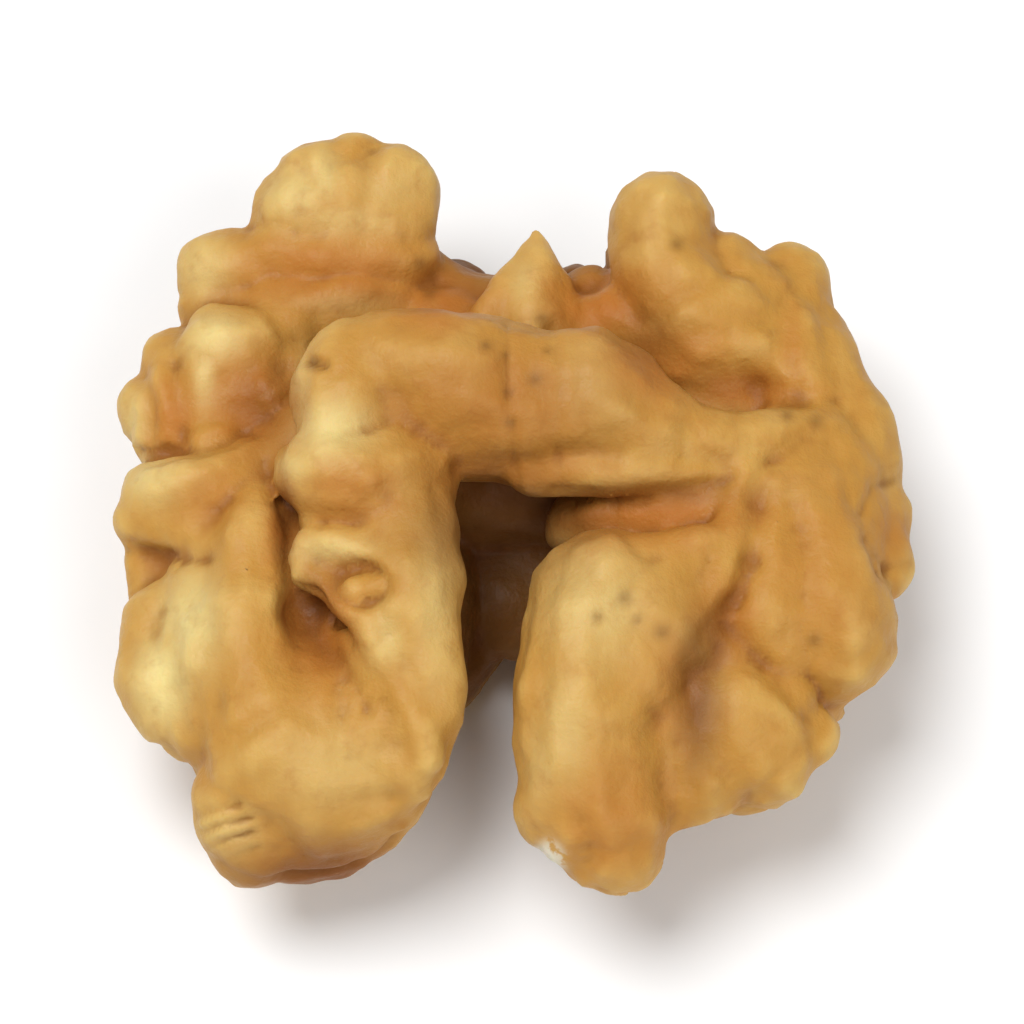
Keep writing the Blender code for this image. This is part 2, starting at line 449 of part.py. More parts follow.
def seat(obj):
    """Scales to the real width, then rests the lowest folds on small flats at the table."""
    xs, ys, zs = zip(*(v.co for v in obj.data.vertices))
    scale = KERNEL_WIDTH * MM / (max(xs) - min(xs))
    cut_height = min(zs) * scale + REST_CUT * MM
    middle = Vector(((max(xs) + min(xs)) / 2 * scale, (max(ys) + min(ys)) / 2 * scale, cut_height))
    obj.data.transform(Matrix.Translation(-middle) @ Matrix.Scale(scale, 4))
    bm = bmesh.new()
    bm.from_mesh(obj.data)
    geometry = bm.verts[:] + bm.edges[:] + bm.faces[:]
    cut = bmesh.ops.bisect_plane(bm, geom=geometry, plane_co=(0, 0, 0), plane_no=(0, 0, -1), clear_outer=True)
    rims = [e for e in cut["geom_cut"] if isinstance(e, bmesh.types.BMEdge)]
    bmesh.ops.holes_fill(bm, edges=rims, sides=0)
    bmesh.ops.recalc_face_normals(bm, faces=bm.faces[:])
    bm.to_mesh(obj.data)
    bm.free()


def skin_material():
    material = bpy.data.materials.new("kernel_skin")
    material.use_nodes = True
    shader = material.node_tree.nodes["Principled BSDF"]
    shader.inputs["Base Color"].default_value = SKIN_COLOUR
    shader.inputs["Roughness"].default_value = SKIN_ROUGHNESS
    shader.inputs["Metallic"].default_value = 0.0
    return material


def build_kernel(collection):
    kernel = bpy.data.objects.new("kernel", raw_flesh())
    collection.objects.link(kernel)
    merged(kernel, VOXEL)
    applied(kernel)
    swell(kernel)
    thin_out(kernel, MOST_TRIANGLES)
    seat(kernel)
    keep_largest(kernel)
    kernel.data.materials.append(skin_material())
    kernel.data.shade_smooth()
    return kernel


def main():
    for obj in list(bpy.data.objects):
        bpy.data.objects.remove(obj)
    collection = bpy.data.collections.new("walnut_kernel")
    bpy.context.scene.collection.children.link(collection)
    build_kernel(collection)


main()
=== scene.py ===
# Walnut kernel on a pale table, seen from above its open notch.
# Metres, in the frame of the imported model; the kernel's folds are drawn in millimetres.
import math
import random

import bmesh
import bpy
import numpy as np
from mathutils import Matrix, Vector, noise


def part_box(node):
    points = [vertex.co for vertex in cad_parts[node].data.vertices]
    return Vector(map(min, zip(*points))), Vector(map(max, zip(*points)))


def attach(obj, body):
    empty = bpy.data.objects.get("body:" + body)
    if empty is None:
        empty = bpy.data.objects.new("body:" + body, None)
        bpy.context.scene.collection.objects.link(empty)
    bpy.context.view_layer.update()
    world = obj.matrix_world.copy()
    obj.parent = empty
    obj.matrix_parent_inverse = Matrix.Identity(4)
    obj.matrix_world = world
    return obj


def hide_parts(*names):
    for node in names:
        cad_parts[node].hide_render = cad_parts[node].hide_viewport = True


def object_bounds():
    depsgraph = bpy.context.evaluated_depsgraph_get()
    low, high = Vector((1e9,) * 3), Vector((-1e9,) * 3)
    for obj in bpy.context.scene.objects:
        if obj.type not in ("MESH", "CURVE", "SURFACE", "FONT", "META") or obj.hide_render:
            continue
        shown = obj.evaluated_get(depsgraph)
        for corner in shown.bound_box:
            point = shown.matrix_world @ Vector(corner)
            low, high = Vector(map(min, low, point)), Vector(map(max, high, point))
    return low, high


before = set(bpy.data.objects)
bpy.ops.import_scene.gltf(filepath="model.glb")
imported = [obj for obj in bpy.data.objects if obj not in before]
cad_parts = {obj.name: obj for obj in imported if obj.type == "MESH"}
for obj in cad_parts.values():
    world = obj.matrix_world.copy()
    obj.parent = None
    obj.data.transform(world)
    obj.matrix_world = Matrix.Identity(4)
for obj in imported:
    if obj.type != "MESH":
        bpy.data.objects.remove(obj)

cad_low, cad_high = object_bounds()
scene = bpy.context.scene

# The table: a plain pale matt board, wide enough to fill every view. It lies a hair below the kernel, and it
# is the stage and not part of the kernel.
TABLE_HALF = 0.9
TABLE_GAP = 0.00001
TABLE_COLOUR = (0.90, 0.90, 0.90, 1.0)
TABLE_ROUGHNESS = 0.8


def lay_table():
    bm = bmesh.new()
    bmesh.ops.create_grid(bm, x_segments=1, y_segments=1, size=TABLE_HALF)
    mesh = bpy.data.meshes.new("table")
    bm.to_mesh(mesh)
    bm.free()
    table = bpy.data.objects.new("table", mesh)
    table.location.z = -TABLE_GAP
    scene.collection.objects.link(table)
    material = bpy.data.materials.new("pale_board")
    material.use_nodes = True
    shader = material.node_tree.nodes["Principled BSDF"]
    shader.inputs["Base Color"].default_value = TABLE_COLOUR
    shader.inputs["Roughness"].default_value = TABLE_ROUGHNESS
    mesh.materials.append(material)


lay_table()

# The flesh: half of a walnut's seed, one soft oily body that grew pressed against the shell, so that it is
# all winding lobes. The two sides join in the arch, beside the pointed root tip, and part at the notch.
MM = 0.001
VIEW_ANGLE = math.radians(62)
VIEW_HEIGHT = 10.0
DOME_LENGTH = 30.4
DOME_WIDTH = 30.0
DOME_DEPTH = 8.6
RIM_HEIGHT = 9.0
REST_CUT = 0.6
BEAD_STEP = 0.55
BEAD_DETAIL = 2
LOBE_DETAIL = 3
FINE_VOXEL = 0.22
EASE_ROUNDS = 3
EASE_SHARE = 0.5

# Folds of the inner face: (across, up the view, height, radius), in millimetres.
INNER_FOLDS = {
    "arch_left": [(0.2, 4.1, 12.4, 3.5), (-3.0, 4.7, 12.9, 3.6), (-5.4, 5.2, 13.2, 3.1)],
    "arch_right": [(0.0, 4.2, 12.4, 3.3), (3.0, 4.3, 12.8, 3.1), (5.2, 3.4, 12.6, 2.4),
                   (6.8, 2.8, 12.3, 1.8), (8.4, 2.5, 12.1, 1.6), (11.0, 2.7, 11.4, 1.7),
                   (12.8, 3.0, 10.6, 1.6)],
    "arch_lip": [(0.6, 1.4, 12.3, 1.1), (3.4, 1.4, 12.6, 1.1), (5.8, 1.35, 12.5, 1.1),
                 (8.4, 1.3, 12.1, 1.0), (9.8, 1.5, 11.6, 1.0)],
    "arch_corner": [(3.0, 5.1, 13.1, 2.4), (4.3, 4.8, 13.1, 2.1)],
    "knee": [(-6.6, 5.6, 13.7, 2.3), (-7.2, 4.8, 13.9, 2.3), (-7.0, 3.6, 13.8, 2.2),
             (-7.1, 2.6, 13.6, 2.0)],
    "knee_lower": [(-7.7, 1.4, 13.6, 2.0), (-6.2, 1.0, 13.6, 2.3), (-4.8, 1.4, 13.0, 2.3)],
    "knee_nub": [(-9.3, 1.8, 12.8, 0.9), (-8.6, 1.4, 13.0, 1.5)],
    "left_leg": [(-4.8, 2.6, 12.4, 2.6), (-4.9, -0.4, 12.5, 2.4), (-4.4, -3.2, 12.6, 2.4),
                 (-3.9, -6.0, 12.0, 2.0), (-4.0, -8.4, 11.2, 1.9), (-4.6, -10.4, 10.2, 2.0)],
    "valley_slope": [(-8.3, -5.2, 9.8, 1.7), (-7.8, -6.6, 10.4, 1.8), (-7.5, -7.8, 10.5, 2.1),
                     (-7.6, -9.2, 10.0, 2.5)],
    "valley_end": [(-6.7, -6.3, 11.2, 1.5), (-6.1, -7.3, 11.6, 1.6), (-5.8, -8.5, 11.3, 1.7),
                   (-6.2, -9.8, 10.5, 1.9)],
    "leg_back": [(-5.8, -1.6, 10.6, 2.6), (-5.0, -5.0, 9.6, 2.6), (-5.2, -8.4, 8.6, 2.8)],
    "curl_lip": [(-8.6, -2.2, 12.9, 0.7), (-8.3, -1.7, 13.1, 0.8), (-7.0, -1.7, 13.5, 0.9),
                 (-5.4, -2.2, 13.8, 0.9)],
    "curl_top": [(-7.5, -0.7, 12.6, 1.4), (-5.8, -0.6, 13.0, 1.6)],
    "curl_floor": [(-7.6, -2.8, 12.5, 1.2), (-6.2, -3.0, 12.5, 1.6)],
    "curl_nub": [(-6.7, -3.2, 13.6, 0.7), (-6.3, -3.5, 13.6, 0.7)],
    "leg_ridge": [(-8.4, -2.8, 12.9, 0.8), (-7.2, -3.7, 13.3, 0.8), (-6.1, -4.5, 13.4, 0.8),
                  (-5.3, -6.2, 13.0, 0.8), (-4.2, -8.2, 12.4, 0.9), (-3.6, -10.0, 11.4, 1.0)],
    "left_spur": [(-10.9, 1.0, 11.2, 0.8), (-11.0, -0.8, 11.3, 1.4), (-11.0, -3.4, 11.0, 2.0),
                  (-10.8, -6.2, 10.4, 2.5), (-10.0, -9.0, 9.5, 3.1)],
    "left_foot": [(-9.2, -10.4, 8.9, 3.6), (-7.8, -11.0, 8.6, 3.7), (-6.2, -11.0, 8.8, 3.1)],
    "left_foot_under": [(-9.2, -12.8, 6.6, 3.1), (-7.8, -13.2, 6.4, 2.6)],
    "left_foot_heel": [(-10.9, -12.4, 8.0, 2.5), (-11.0, -13.8, 6.9, 2.2), (-9.8, -13.0, 7.8, 2.2)],
    "left_flank_outer": [(-14.5, -4.5, 9.0, 1.5), (-14.9, -6.0, 8.6, 1.6), (-14.4, -7.8, 8.4, 2.1),
                         (-13.5, -8.8, 7.9, 1.9)],
    "left_flank_side": [(-15.0, -4.7, 8.8, 1.4), (-15.0, -5.3, 8.8, 1.4)],
    "left_flank_lump": [(-12.9, -5.4, 10.6, 1.3), (-12.8, -6.6, 10.5, 1.4)],
    "left_flank_inner": [(-13.0, -3.0, 9.9, 1.6), (-12.9, -6.0, 9.6, 2.0), (-12.4, -8.8, 8.8, 2.2)],
    "left_flank_back": [(-15.0, -2.4, 7.8, 1.6), (-15.2, -3.9, 7.4, 1.6)],
    "left_ear": [(-15.9, 0.8, 9.6, 1.0), (-14.8, 0.4, 10.2, 1.8), (-12.8, 0.6, 10.6, 2.0),
                 (-11.2, 1.4, 10.5, 1.6)],
    "left_ear_lower": [(-15.4, -0.6, 9.4, 1.6), (-13.0, -1.0, 10.0, 1.9)],
    "left_shoulder": [(-12.6, 6.6, 10.4, 2.2), (-11.6, 6.4, 10.4, 2.3), (-10.6, 5.6, 10.0, 2.1)],
    "left_shoulder_ridge": [(-13.0, 6.6, 10.6, 1.8), (-13.4, 4.8, 10.2, 1.5), (-13.4, 3.2, 9.9, 1.3)],
    "left_shoulder_side": [(-14.5, 6.2, 9.3, 1.8), (-14.5, 4.2, 9.6, 2.0), (-14.9, 2.8, 9.4, 1.7)],
    "left_shoulder_bump": [(-15.5, 4.1, 9.0, 1.7), (-15.6, 3.6, 8.8, 1.5)],
    "left_shoulder_fold": [(-12.4, 4.4, 9.8, 1.9), (-10.8, 4.4, 10.1, 2.1)],
    "under_brow": [(-13.2, 8.4, 9.3, 1.6), (-11.4, 8.2, 9.8, 1.6), (-10.0, 7.4, 10.2, 1.7)],
    "left_brow": [(-13.0, 10.1, 9.3, 2.0), (-12.0, 10.1, 9.6, 2.2), (-10.0, 10.1, 9.5, 2.1),
                  (-7.6, 10.1, 9.5, 2.1), (-5.2, 10.0, 9.0, 2.0), (-2.6, 9.0, 8.4, 1.7)],
    "left_brow_pleat": [(-9.8, 8.1, 10.7, 0.9), (-8.4, 8.8, 11.0, 0.9), (-7.0, 9.2, 11.0, 0.9),
                        (-5.4, 9.0, 10.4, 0.9)],
    "left_crown_side": [(-10.0, 13.4, 10.8, 1.7), (-9.9, 12.0, 10.4, 1.9)],
    "left_crown_middle": [(-8.6, 13.8, 11.0, 2.4), (-8.4, 11.9, 10.7, 2.4)],
    "left_crown_ridge": [(-7.1, 14.7, 11.4, 1.7), (-7.2, 12.6, 11.3, 1.8)],
    "left_crown_front": [(-5.5, 13.7, 11.2, 2.2), (-5.6, 12.0, 10.8, 2.1)],
    "root_tip": [(0.9, 11.8, 11.2, 0.4), (1.0, 11.0, 11.0, 0.8), (0.9, 10.0, 10.8, 1.3),
                 (0.8, 8.8, 10.4, 1.7), (0.6, 7.6, 10.0, 2.2)],
    "root_tip_left": [(0.6, 11.2, 11.1, 0.5), (-0.1, 9.8, 11.1, 0.8), (-0.8, 8.4, 10.9, 1.0),
                      (-1.2, 7.4, 10.6, 1.2)],
    "root_tip_right": [(1.8, 9.6, 10.6, 0.8), (2.0, 8.2, 10.6, 0.9)],
    "saddle": [(-6.0, 8.2, 7.6, 2.2), (-2.0, 8.4, 7.6, 1.8), (2.0, 8.2, 7.6, 1.8), (6.0, 8.0, 7.8, 2.0)],
    "skyline_left": [(-4.6, 9.4, 9.0, 1.6), (-3.6, 9.7, 9.2, 1.3), (-2.6, 9.1, 8.8, 1.5),
                     (-0.8, 8.9, 8.8, 1.5)],
    "skyline_right": [(2.0, 8.8, 8.8, 1.4), (3.3, 9.4, 9.2, 1.3), (3.8, 8.9, 9.0, 1.5),
                      (5.4, 9.2, 9.4, 1.6)],
    "right_crown": [(6.35, 12.2, 11.4, 2.5), (6.5, 10.6, 11.2, 2.4), (7.2, 8.8, 11.0, 2.4)],
    "right_crown_body": [(7.9, 7.9, 11.1, 2.2), (9.3, 7.8, 11.0, 2.0)],
    "right_crown_corner": [(8.2, 6.9, 11.3, 1.4), (9.8, 6.8, 11.3, 1.4), (10.3, 6.3, 11.1, 1.1),
                           (10.3, 7.8, 11.0, 1.4)],
    "right_crown_foot": [(4.6, 8.0, 10.0, 1.6), (6.2, 7.4, 10.2, 1.8), (7.4, 6.3, 10.2, 1.7),
                         (9.2, 5.5, 10.1, 1.6)],
    "right_crown_back": [(9.0, 10.2, 10.4, 1.9), (10.6, 8.9, 10.4, 1.9)],
    "right_knob": [(12.0, 9.8, 9.8, 1.8), (12.0, 8.2, 9.6, 2.0)],
    "right_shoulder": [(11.6, 7.4, 10.2, 1.9), (11.9, 5.8, 10.2, 2.0), (12.4, 4.4, 10.1, 1.9)],
    "right_rim": [(12.6, 7.2, 9.4, 2.0), (13.1, 5.6, 9.4, 2.2), (13.8, 3.8, 9.2, 2.3),
                  (14.3, 1.6, 8.8, 2.4)],
    "right_rim_low": [(14.3, 1.6, 8.8, 2.3), (14.8, -0.4, 8.6, 1.9), (14.8, -2.4, 8.4, 2.0)],
    "right_rim_spot": [(15.7, -0.2, 8.4, 1.2), (15.6, -1.4, 8.2, 1.2)],
    "right_cheek": [(11.8, 2.4, 10.2, 2.2), (12.0, -0.4, 10.4, 2.6), (12.7, -3.2, 9.8, 2.9),
                    (13.2, -5.4, 9.0, 3.0)],
    "right_cheek_inner": [(10.9, 0.2, 11.1, 1.8), (10.7, -2.0, 11.0, 2.0), (10.3, -4.2, 10.6, 2.1),
                          (9.8, -5.8, 9.8, 2.0)],
    "groove_ledge": [(9.7, 0.3, 11.4, 1.5), (7.8, -0.2, 11.0, 1.6), (5.8, -0.5, 10.3, 1.9),
                     (4.1, -0.7, 9.5, 2.0), (3.2, -0.9, 8.7, 1.9)],
    "right_leg_top": [(3.0, -2.4, 11.8, 1.5), (5.6, -2.4, 12.0, 1.4), (8.0, -2.0, 12.0, 1.2)],
    "right_leg": [(3.5, -3.7, 11.2, 2.9), (2.9, -6.4, 11.0, 3.0), (2.8, -9.4, 10.2, 3.1),
                  (3.0, -12.0, 9.0, 3.1)],
    "right_foot": [(3.9, -12.6, 8.8, 2.5), (4.0, -13.8, 8.0, 2.4)],
    "right_foot_toe": [(1.6, -12.2, 9.2, 1.8), (1.5, -12.8, 8.8, 1.5)],
    "right_leg_face": [(6.4, -3.1, 11.4, 2.1), (5.4, -5.0, 11.3, 2.3), (4.4, -7.2, 11.0, 2.4)],
    "right_leg_edge": [(9.4, 1.6, 12.0, 1.2), (9.2, 0.0, 12.1, 0.9), (8.9, -1.8, 12.2, 0.9),
                       (8.2, -3.2, 12.3, 0.9), (6.6, -5.0, 12.2, 0.9), (5.2, -6.8, 11.9, 1.1),
                       (4.4, -8.4, 11.4, 1.4)],
    "right_leg_back": [(10.4, 0.6, 11.5, 1.3), (10.2, -0.8, 11.3, 1.3), (10.2, -2.2, 10.9, 1.3)],
    "leg_to_fan": [(5.7, -8.8, 9.6, 2.0), (6.3, -10.4, 9.1, 2.0), (6.3, -11.6, 8.6, 1.9)],
    "fan_fold": [(7.4, -6.0, 9.8, 1.3), (7.4, -8.4, 9.5, 1.7), (7.6, -11.2, 8.5, 2.1)],
    "fan": [(8.8, -6.6, 9.4, 1.9), (9.6, -8.6, 8.9, 2.5), (10.1, -10.0, 8.3, 2.6)],
    "fan_tip": [(11.5, -9.6, 8.3, 1.8), (12.4, -10.2, 7.9, 0.9)],
}

# Flesh between the folds: (across, up the view, height) of its middle, then three half sizes.
INNER_LOBES = {
    "groove_floor": ((6.7, 0.0, 8.9), (4.5, 2.8, 2.2)),
    "leg_bed": ((8.5, -4.4, 9.7), (3.6, 4.4, 2.4)),
    "spur_bed": ((-10.0, -3.6, 9.0), (4.6, 6.0, 2.8)),
    "knee_bed": ((-8.6, 1.4, 9.8), (3.4, 3.6, 2.6)),
    "shoulder_bed": ((-10.8, 4.2, 8.8), (4.4, 4.2, 2.4)),
    "brow_bed": ((-8.4, 8.5, 9.3), (5.0, 3.0, 2.4)),
    "brow_face": ((-7.8, 10.8, 10.5), (4.6, 2.0, 2.2)),
    "cheek_bed": ((11.4, -3.4, 8.0), (4.2, 6.0, 2.8)),
    "crown_bed": ((9.6, 6.2, 8.8), (4.6, 4.4, 2.6)),
    "apex_left": ((-3.2, 7.4, 8.6), (3.6, 2.2, 2.4)),
    "apex_right": ((3.6, 7.2, 8.6), (3.6, 2.2, 2.4)),
    "flank_bed": ((-12.6, -4.6, 7.4), (3.4, 5.6, 2.4)),
    "flank_face": ((-12.3, -3.4, 10.0), (2.0, 4.6, 2.0)),
    "leg_face": ((5.3, -4.5, 11.3), (3.5, 3.0, 2.4)),
    "cheek_face": ((12.6, -0.4, 9.7), (3.3, 5.6, 2.6)),
    "fan_face": ((9.2, -8.6, 9.1), (3.3, 3.6, 2.4)),
    "ear_face": ((-13.2, 0.2, 10.0), (3.0, 2.0, 2.1)),
    "crown_face": ((-7.6, 12.8, 11.1), (3.8, 3.0, 2.3)),
}

# Flesh in the middle: (across, along, height) of its middle, then three half sizes.
CORE_LOBES = {
    "lower_left": ((-8.8, -6.4, 6.4), (5.6, 7.4, 4.4)),
    "lower_right": ((8.6, -5.6, 6.4), (5.6, 7.2, 4.4)),
    "left_belly": ((-6.0, -2.4, 4.8), (4.4, 6.4, 3.4)),
    "right_belly": ((6.0, -2.0, 4.8), (4.4, 6.4, 3.4)),
    "upper_left": ((-8.6, 6.0, 6.4), (5.0, 6.6, 3.6)),
    "upper_right": ((8.4, 5.8, 6.4), (5.0, 6.4, 3.6)),
    "left_waist": ((-9.6, 0.0, 6.4), (5.0, 6.0, 4.0)),
    "right_waist": ((9.6, 0.0, 6.4), (5.0, 6.0, 4.0)),
    "bridge": ((0.0, 4.6, 6.0), (7.0, 4.4, 3.6)),
    "hollow_floor": ((0.0, 0.4, 3.8), (5.0, 4.6, 1.9)),
}

# The rounded outer side: a ridge on each side of the middle groove, and ribs that wind from it to the rim.
RIB_COUNT = 8
RIB_RADIUS = 2.0
RIB_STATIONS = 8
RIB_START = math.radians(27)
RIB_END = math.radians(96)
RIB_WANDER = 0.9
RIB_WANDER_BEAT = 5.5
RIB_SWELL = 0.16
RIB_SWELL_BEAT = 11.0
RIB_GATHER = 0.08
RIB_SPREAD = 0.92
RIB_LEAN = 1.5
RIB_SEED = 11
RIDGE_RADIUS = 2.0
RIDGE_SWELL = 0.14
RIDGE_SWELL_BEAT = 2.4
RIDGE_SWAY = 0.35
RIDGE_SWAY_BEAT = 1.7
RIDGE_STATIONS = 10
RIDGE_BASE = -10.6
RIDGE_TOP = 10.0
GROOVE_HALF = 2.1
NOTCH_HALF = 6.2
NOTCH_TOP = -3.0
PARTING_LENGTH = 4.0
LEAST_TAPER = 0.05
RIGHT_SHIFT = 1.0
RIGHT_SHRINK = 0.95


def in_view(across, up, height):
    """A point of the kernel, from where the eye sees it and how high it stands above the table."""
    along = (up - math.cos(VIEW_ANGLE) * (height - VIEW_HEIGHT)) / math.sin(VIEW_ANGLE)
    return Vector((across, along, height))


def smooth_route(stations):
    """Points close together on a Catmull-Rom curve through (point, radius) stations."""
    rows = [Vector((*point, radius)) for point, radius in stations]
    rows = [2 * rows[0] - rows[1], *rows, 2 * rows[-1] - rows[-2]]
    made = []
    for before, start, end, after in zip(rows, rows[1:], rows[2:], rows[3:]):
        count = max(1, round((end - start).length / BEAD_STEP))
        for i in range(count):
            t = i / count
            bend = (2 * before - 5 * start + 4 * end - after) * t**2
            twist = (3 * start - before - 3 * end + after) * t**3
            made.append(0.5 * (2 * start + (end - before) * t + bend + twist))
    return [*made, rows[-2]]


def add_lobe(bm, middle, half_sizes, subdivisions):
    place = Matrix.Translation(Vector(middle)) @ Matrix.Diagonal(Vector(half_sizes)).to_4x4()
    bmesh.ops.create_icosphere(bm, subdivisions=subdivisions, radius=1.0, matrix=place)


def add_fold(flesh, stations):
    """A fold is a row of round beads, close enough to merge, along its route."""
    bm = bmesh.new()
    for across, along, height, radius in smooth_route(stations):
        add_lobe(bm, (across, along, height), (radius, radius, radius), BEAD_DETAIL)
    fold = bpy.data.meshes.new("fold")
    bm.to_mesh(fold)
    bm.free()
    flesh.from_mesh(fold)
    bpy.data.meshes.remove(fold)


def on_dome(side, angle, along, sink):
    """A point on the rounded outer side: angle turns from straight down towards the rim."""
    taper = math.sqrt(max(LEAST_TAPER, 1 - (2 * along / DOME_LENGTH) ** 2))
    reach = DOME_WIDTH / 2 * taper - sink
    drop = DOME_DEPTH * taper - sink
    if side > 0:
        along = along * RIGHT_SHRINK + RIGHT_SHIFT
    return Vector((side * reach * math.sin(angle), along, RIM_HEIGHT - drop * math.cos(angle)))


def middle_ridge(side):
    """The ridge beside the middle groove, which bends out round the notch at the base."""
    stations = []
    for i in range(RIDGE_STATIONS):
        t = i / (RIDGE_STATIONS - 1)
        along = RIDGE_BASE + (RIDGE_TOP - RIDGE_BASE) * t
        radius = RIDGE_RADIUS * (1 + RIDGE_SWELL * math.sin(i * RIDGE_SWELL_BEAT + side))
        parting = min(1.0, max(0.0, (NOTCH_TOP - along) / PARTING_LENGTH))
        sway = RIDGE_SWAY * math.sin(i * RIDGE_SWAY_BEAT + 2 * side)
        across = GROOVE_HALF + (NOTCH_HALF - GROOVE_HALF) * parting + sway
        point = on_dome(side, 0.0, along, radius)
        point.x = side * across
        stations.append((point, radius))
    return stations


def rib(side, middle, phase, lean):
    """One rib of the outer side, winding from beside the middle ridge up to the rim."""
    stations = []
    for j in range(RIB_STATIONS):
        t = j / (RIB_STATIONS - 1)
        radius = RIB_RADIUS * (1 + RIB_SWELL * math.sin(phase * 2 + t * RIB_SWELL_BEAT))
        wander = RIB_WANDER * math.sin(phase + t * RIB_WANDER_BEAT)
        along = middle * (1 - RIB_GATHER * t) + lean * (t - 0.5) + wander
        point = on_dome(side, RIB_START + (RIB_END - RIB_START) * t, along, radius)
        if point.y < NOTCH_TOP:
            point.x = side * max(abs(point.x), NOTCH_HALF)
        stations.append((point, radius))
    return stations


def outer_folds():
    """The ridges and ribs of the outer side, wandering by a seeded draw."""
    draw = random.Random(RIB_SEED)
    folds = [middle_ridge(side) for side in (-1, 1)]
    for side in (-1, 1):
        for k in range(RIB_COUNT):
            middle = DOME_LENGTH * ((k + 0.5) / RIB_COUNT - 0.5) * RIB_SPREAD
            phase = draw.uniform(0, math.tau)
            folds.append(rib(side, middle, phase, draw.uniform(-RIB_LEAN, RIB_LEAN)))
    return folds


def raw_flesh():
    """Every lobe, fold and rib as overlapping closed shapes, merged into one fine skin."""
    flesh = bmesh.new()
    for middle, half_sizes in CORE_LOBES.values():
        add_lobe(flesh, middle, half_sizes, LOBE_DETAIL)
    for middle, half_sizes in INNER_LOBES.values():
        add_lobe(flesh, in_view(*middle), half_sizes, LOBE_DETAIL)
    for stations in INNER_FOLDS.values():
        add_fold(flesh, [(in_view(*row[:3]), row[3]) for row in stations])
    for stations in outer_folds():
        add_fold(flesh, stations)
    mesh = bpy.data.meshes.new("walnut_half")
    flesh.to_mesh(mesh)
    flesh.free()
    half = bpy.data.objects.new("walnut_half", mesh)
    scene.collection.objects.link(half)
    remesh = half.modifiers.new("one_skin", "REMESH")
    remesh.mode = "VOXEL"
    remesh.voxel_size = FINE_VOXEL
    ease = half.modifiers.new("ease", "SMOOTH")
    ease.factor = EASE_SHARE
    ease.iterations = EASE_ROUNDS
    graph = bpy.context.evaluated_depsgraph_get()
    skin = bpy.data.meshes.new_from_object(half.evaluated_get(graph))
    half.modifiers.clear()
    half.data = skin
    bpy.data.meshes.remove(mesh)
    skin.name = "walnut_half"
    return half


kernel = raw_flesh()


def keep_outer_skin(obj):
    """Drops the small bubbles and crumbs that merging leaves inside the flesh."""
    bm = bmesh.new()
    bm.from_mesh(obj.data)
    islands = []
    left = set(bm.verts)
    while left:
        start = left.pop()
        island, edge = {start}, [start]
        while edge:
            for link in edge.pop().link_edges:
                for vertex in link.verts:
                    if vertex not in island:
                        island.add(vertex)
                        edge.append(vertex)
        left -= island
        islands.append(island)
    islands.sort(key=len)
    for crumb in islands[:-1]:
        bmesh.ops.delete(bm, geom=list(crumb), context="VERTS")
    bm.to_mesh(obj.data)
    bm.free()


keep_outer_skin(kernel)


# The skin's relief: uneven flesh, the grooves of the outer side, and the creases and wrinkles of the inner
# face. Each point moves in or out along its normal, by millimetres.
LUMP_SIZE = 3.4
LUMP_HEIGHT = 0.32
LUMP_SHIFTS = (Vector((0.0, 0.0, 0.0)), Vector((7.0, 3.0, 1.0)))
GROOVE_PITCH = 4.6
GROOVE_DEPTH = 1.3
CROSS_PITCH = 5.6
CROSS_DEPTH = 0.7
GROOVE_WIND = 1.2
WIND_SIZE = 6.0
CROSS_SHIFT = Vector((5.0, 9.0, 2.0))
GIRTH_LIFT = 2.0
GROOVED_BELOW = 6.0
GROOVES_FADE = 2.6
PUCKER_SIZE = 1.5
PUCKER_HEIGHT = 0.10
PUCKER_SHIFTS = (Vector((2.0, 8.0, 4.0)), Vector((6.0, 1.0, 9.0)))
FINER_SHARE = 0.5
CREASED_ABOVE = 8.4
FACING_GAIN = 2.5

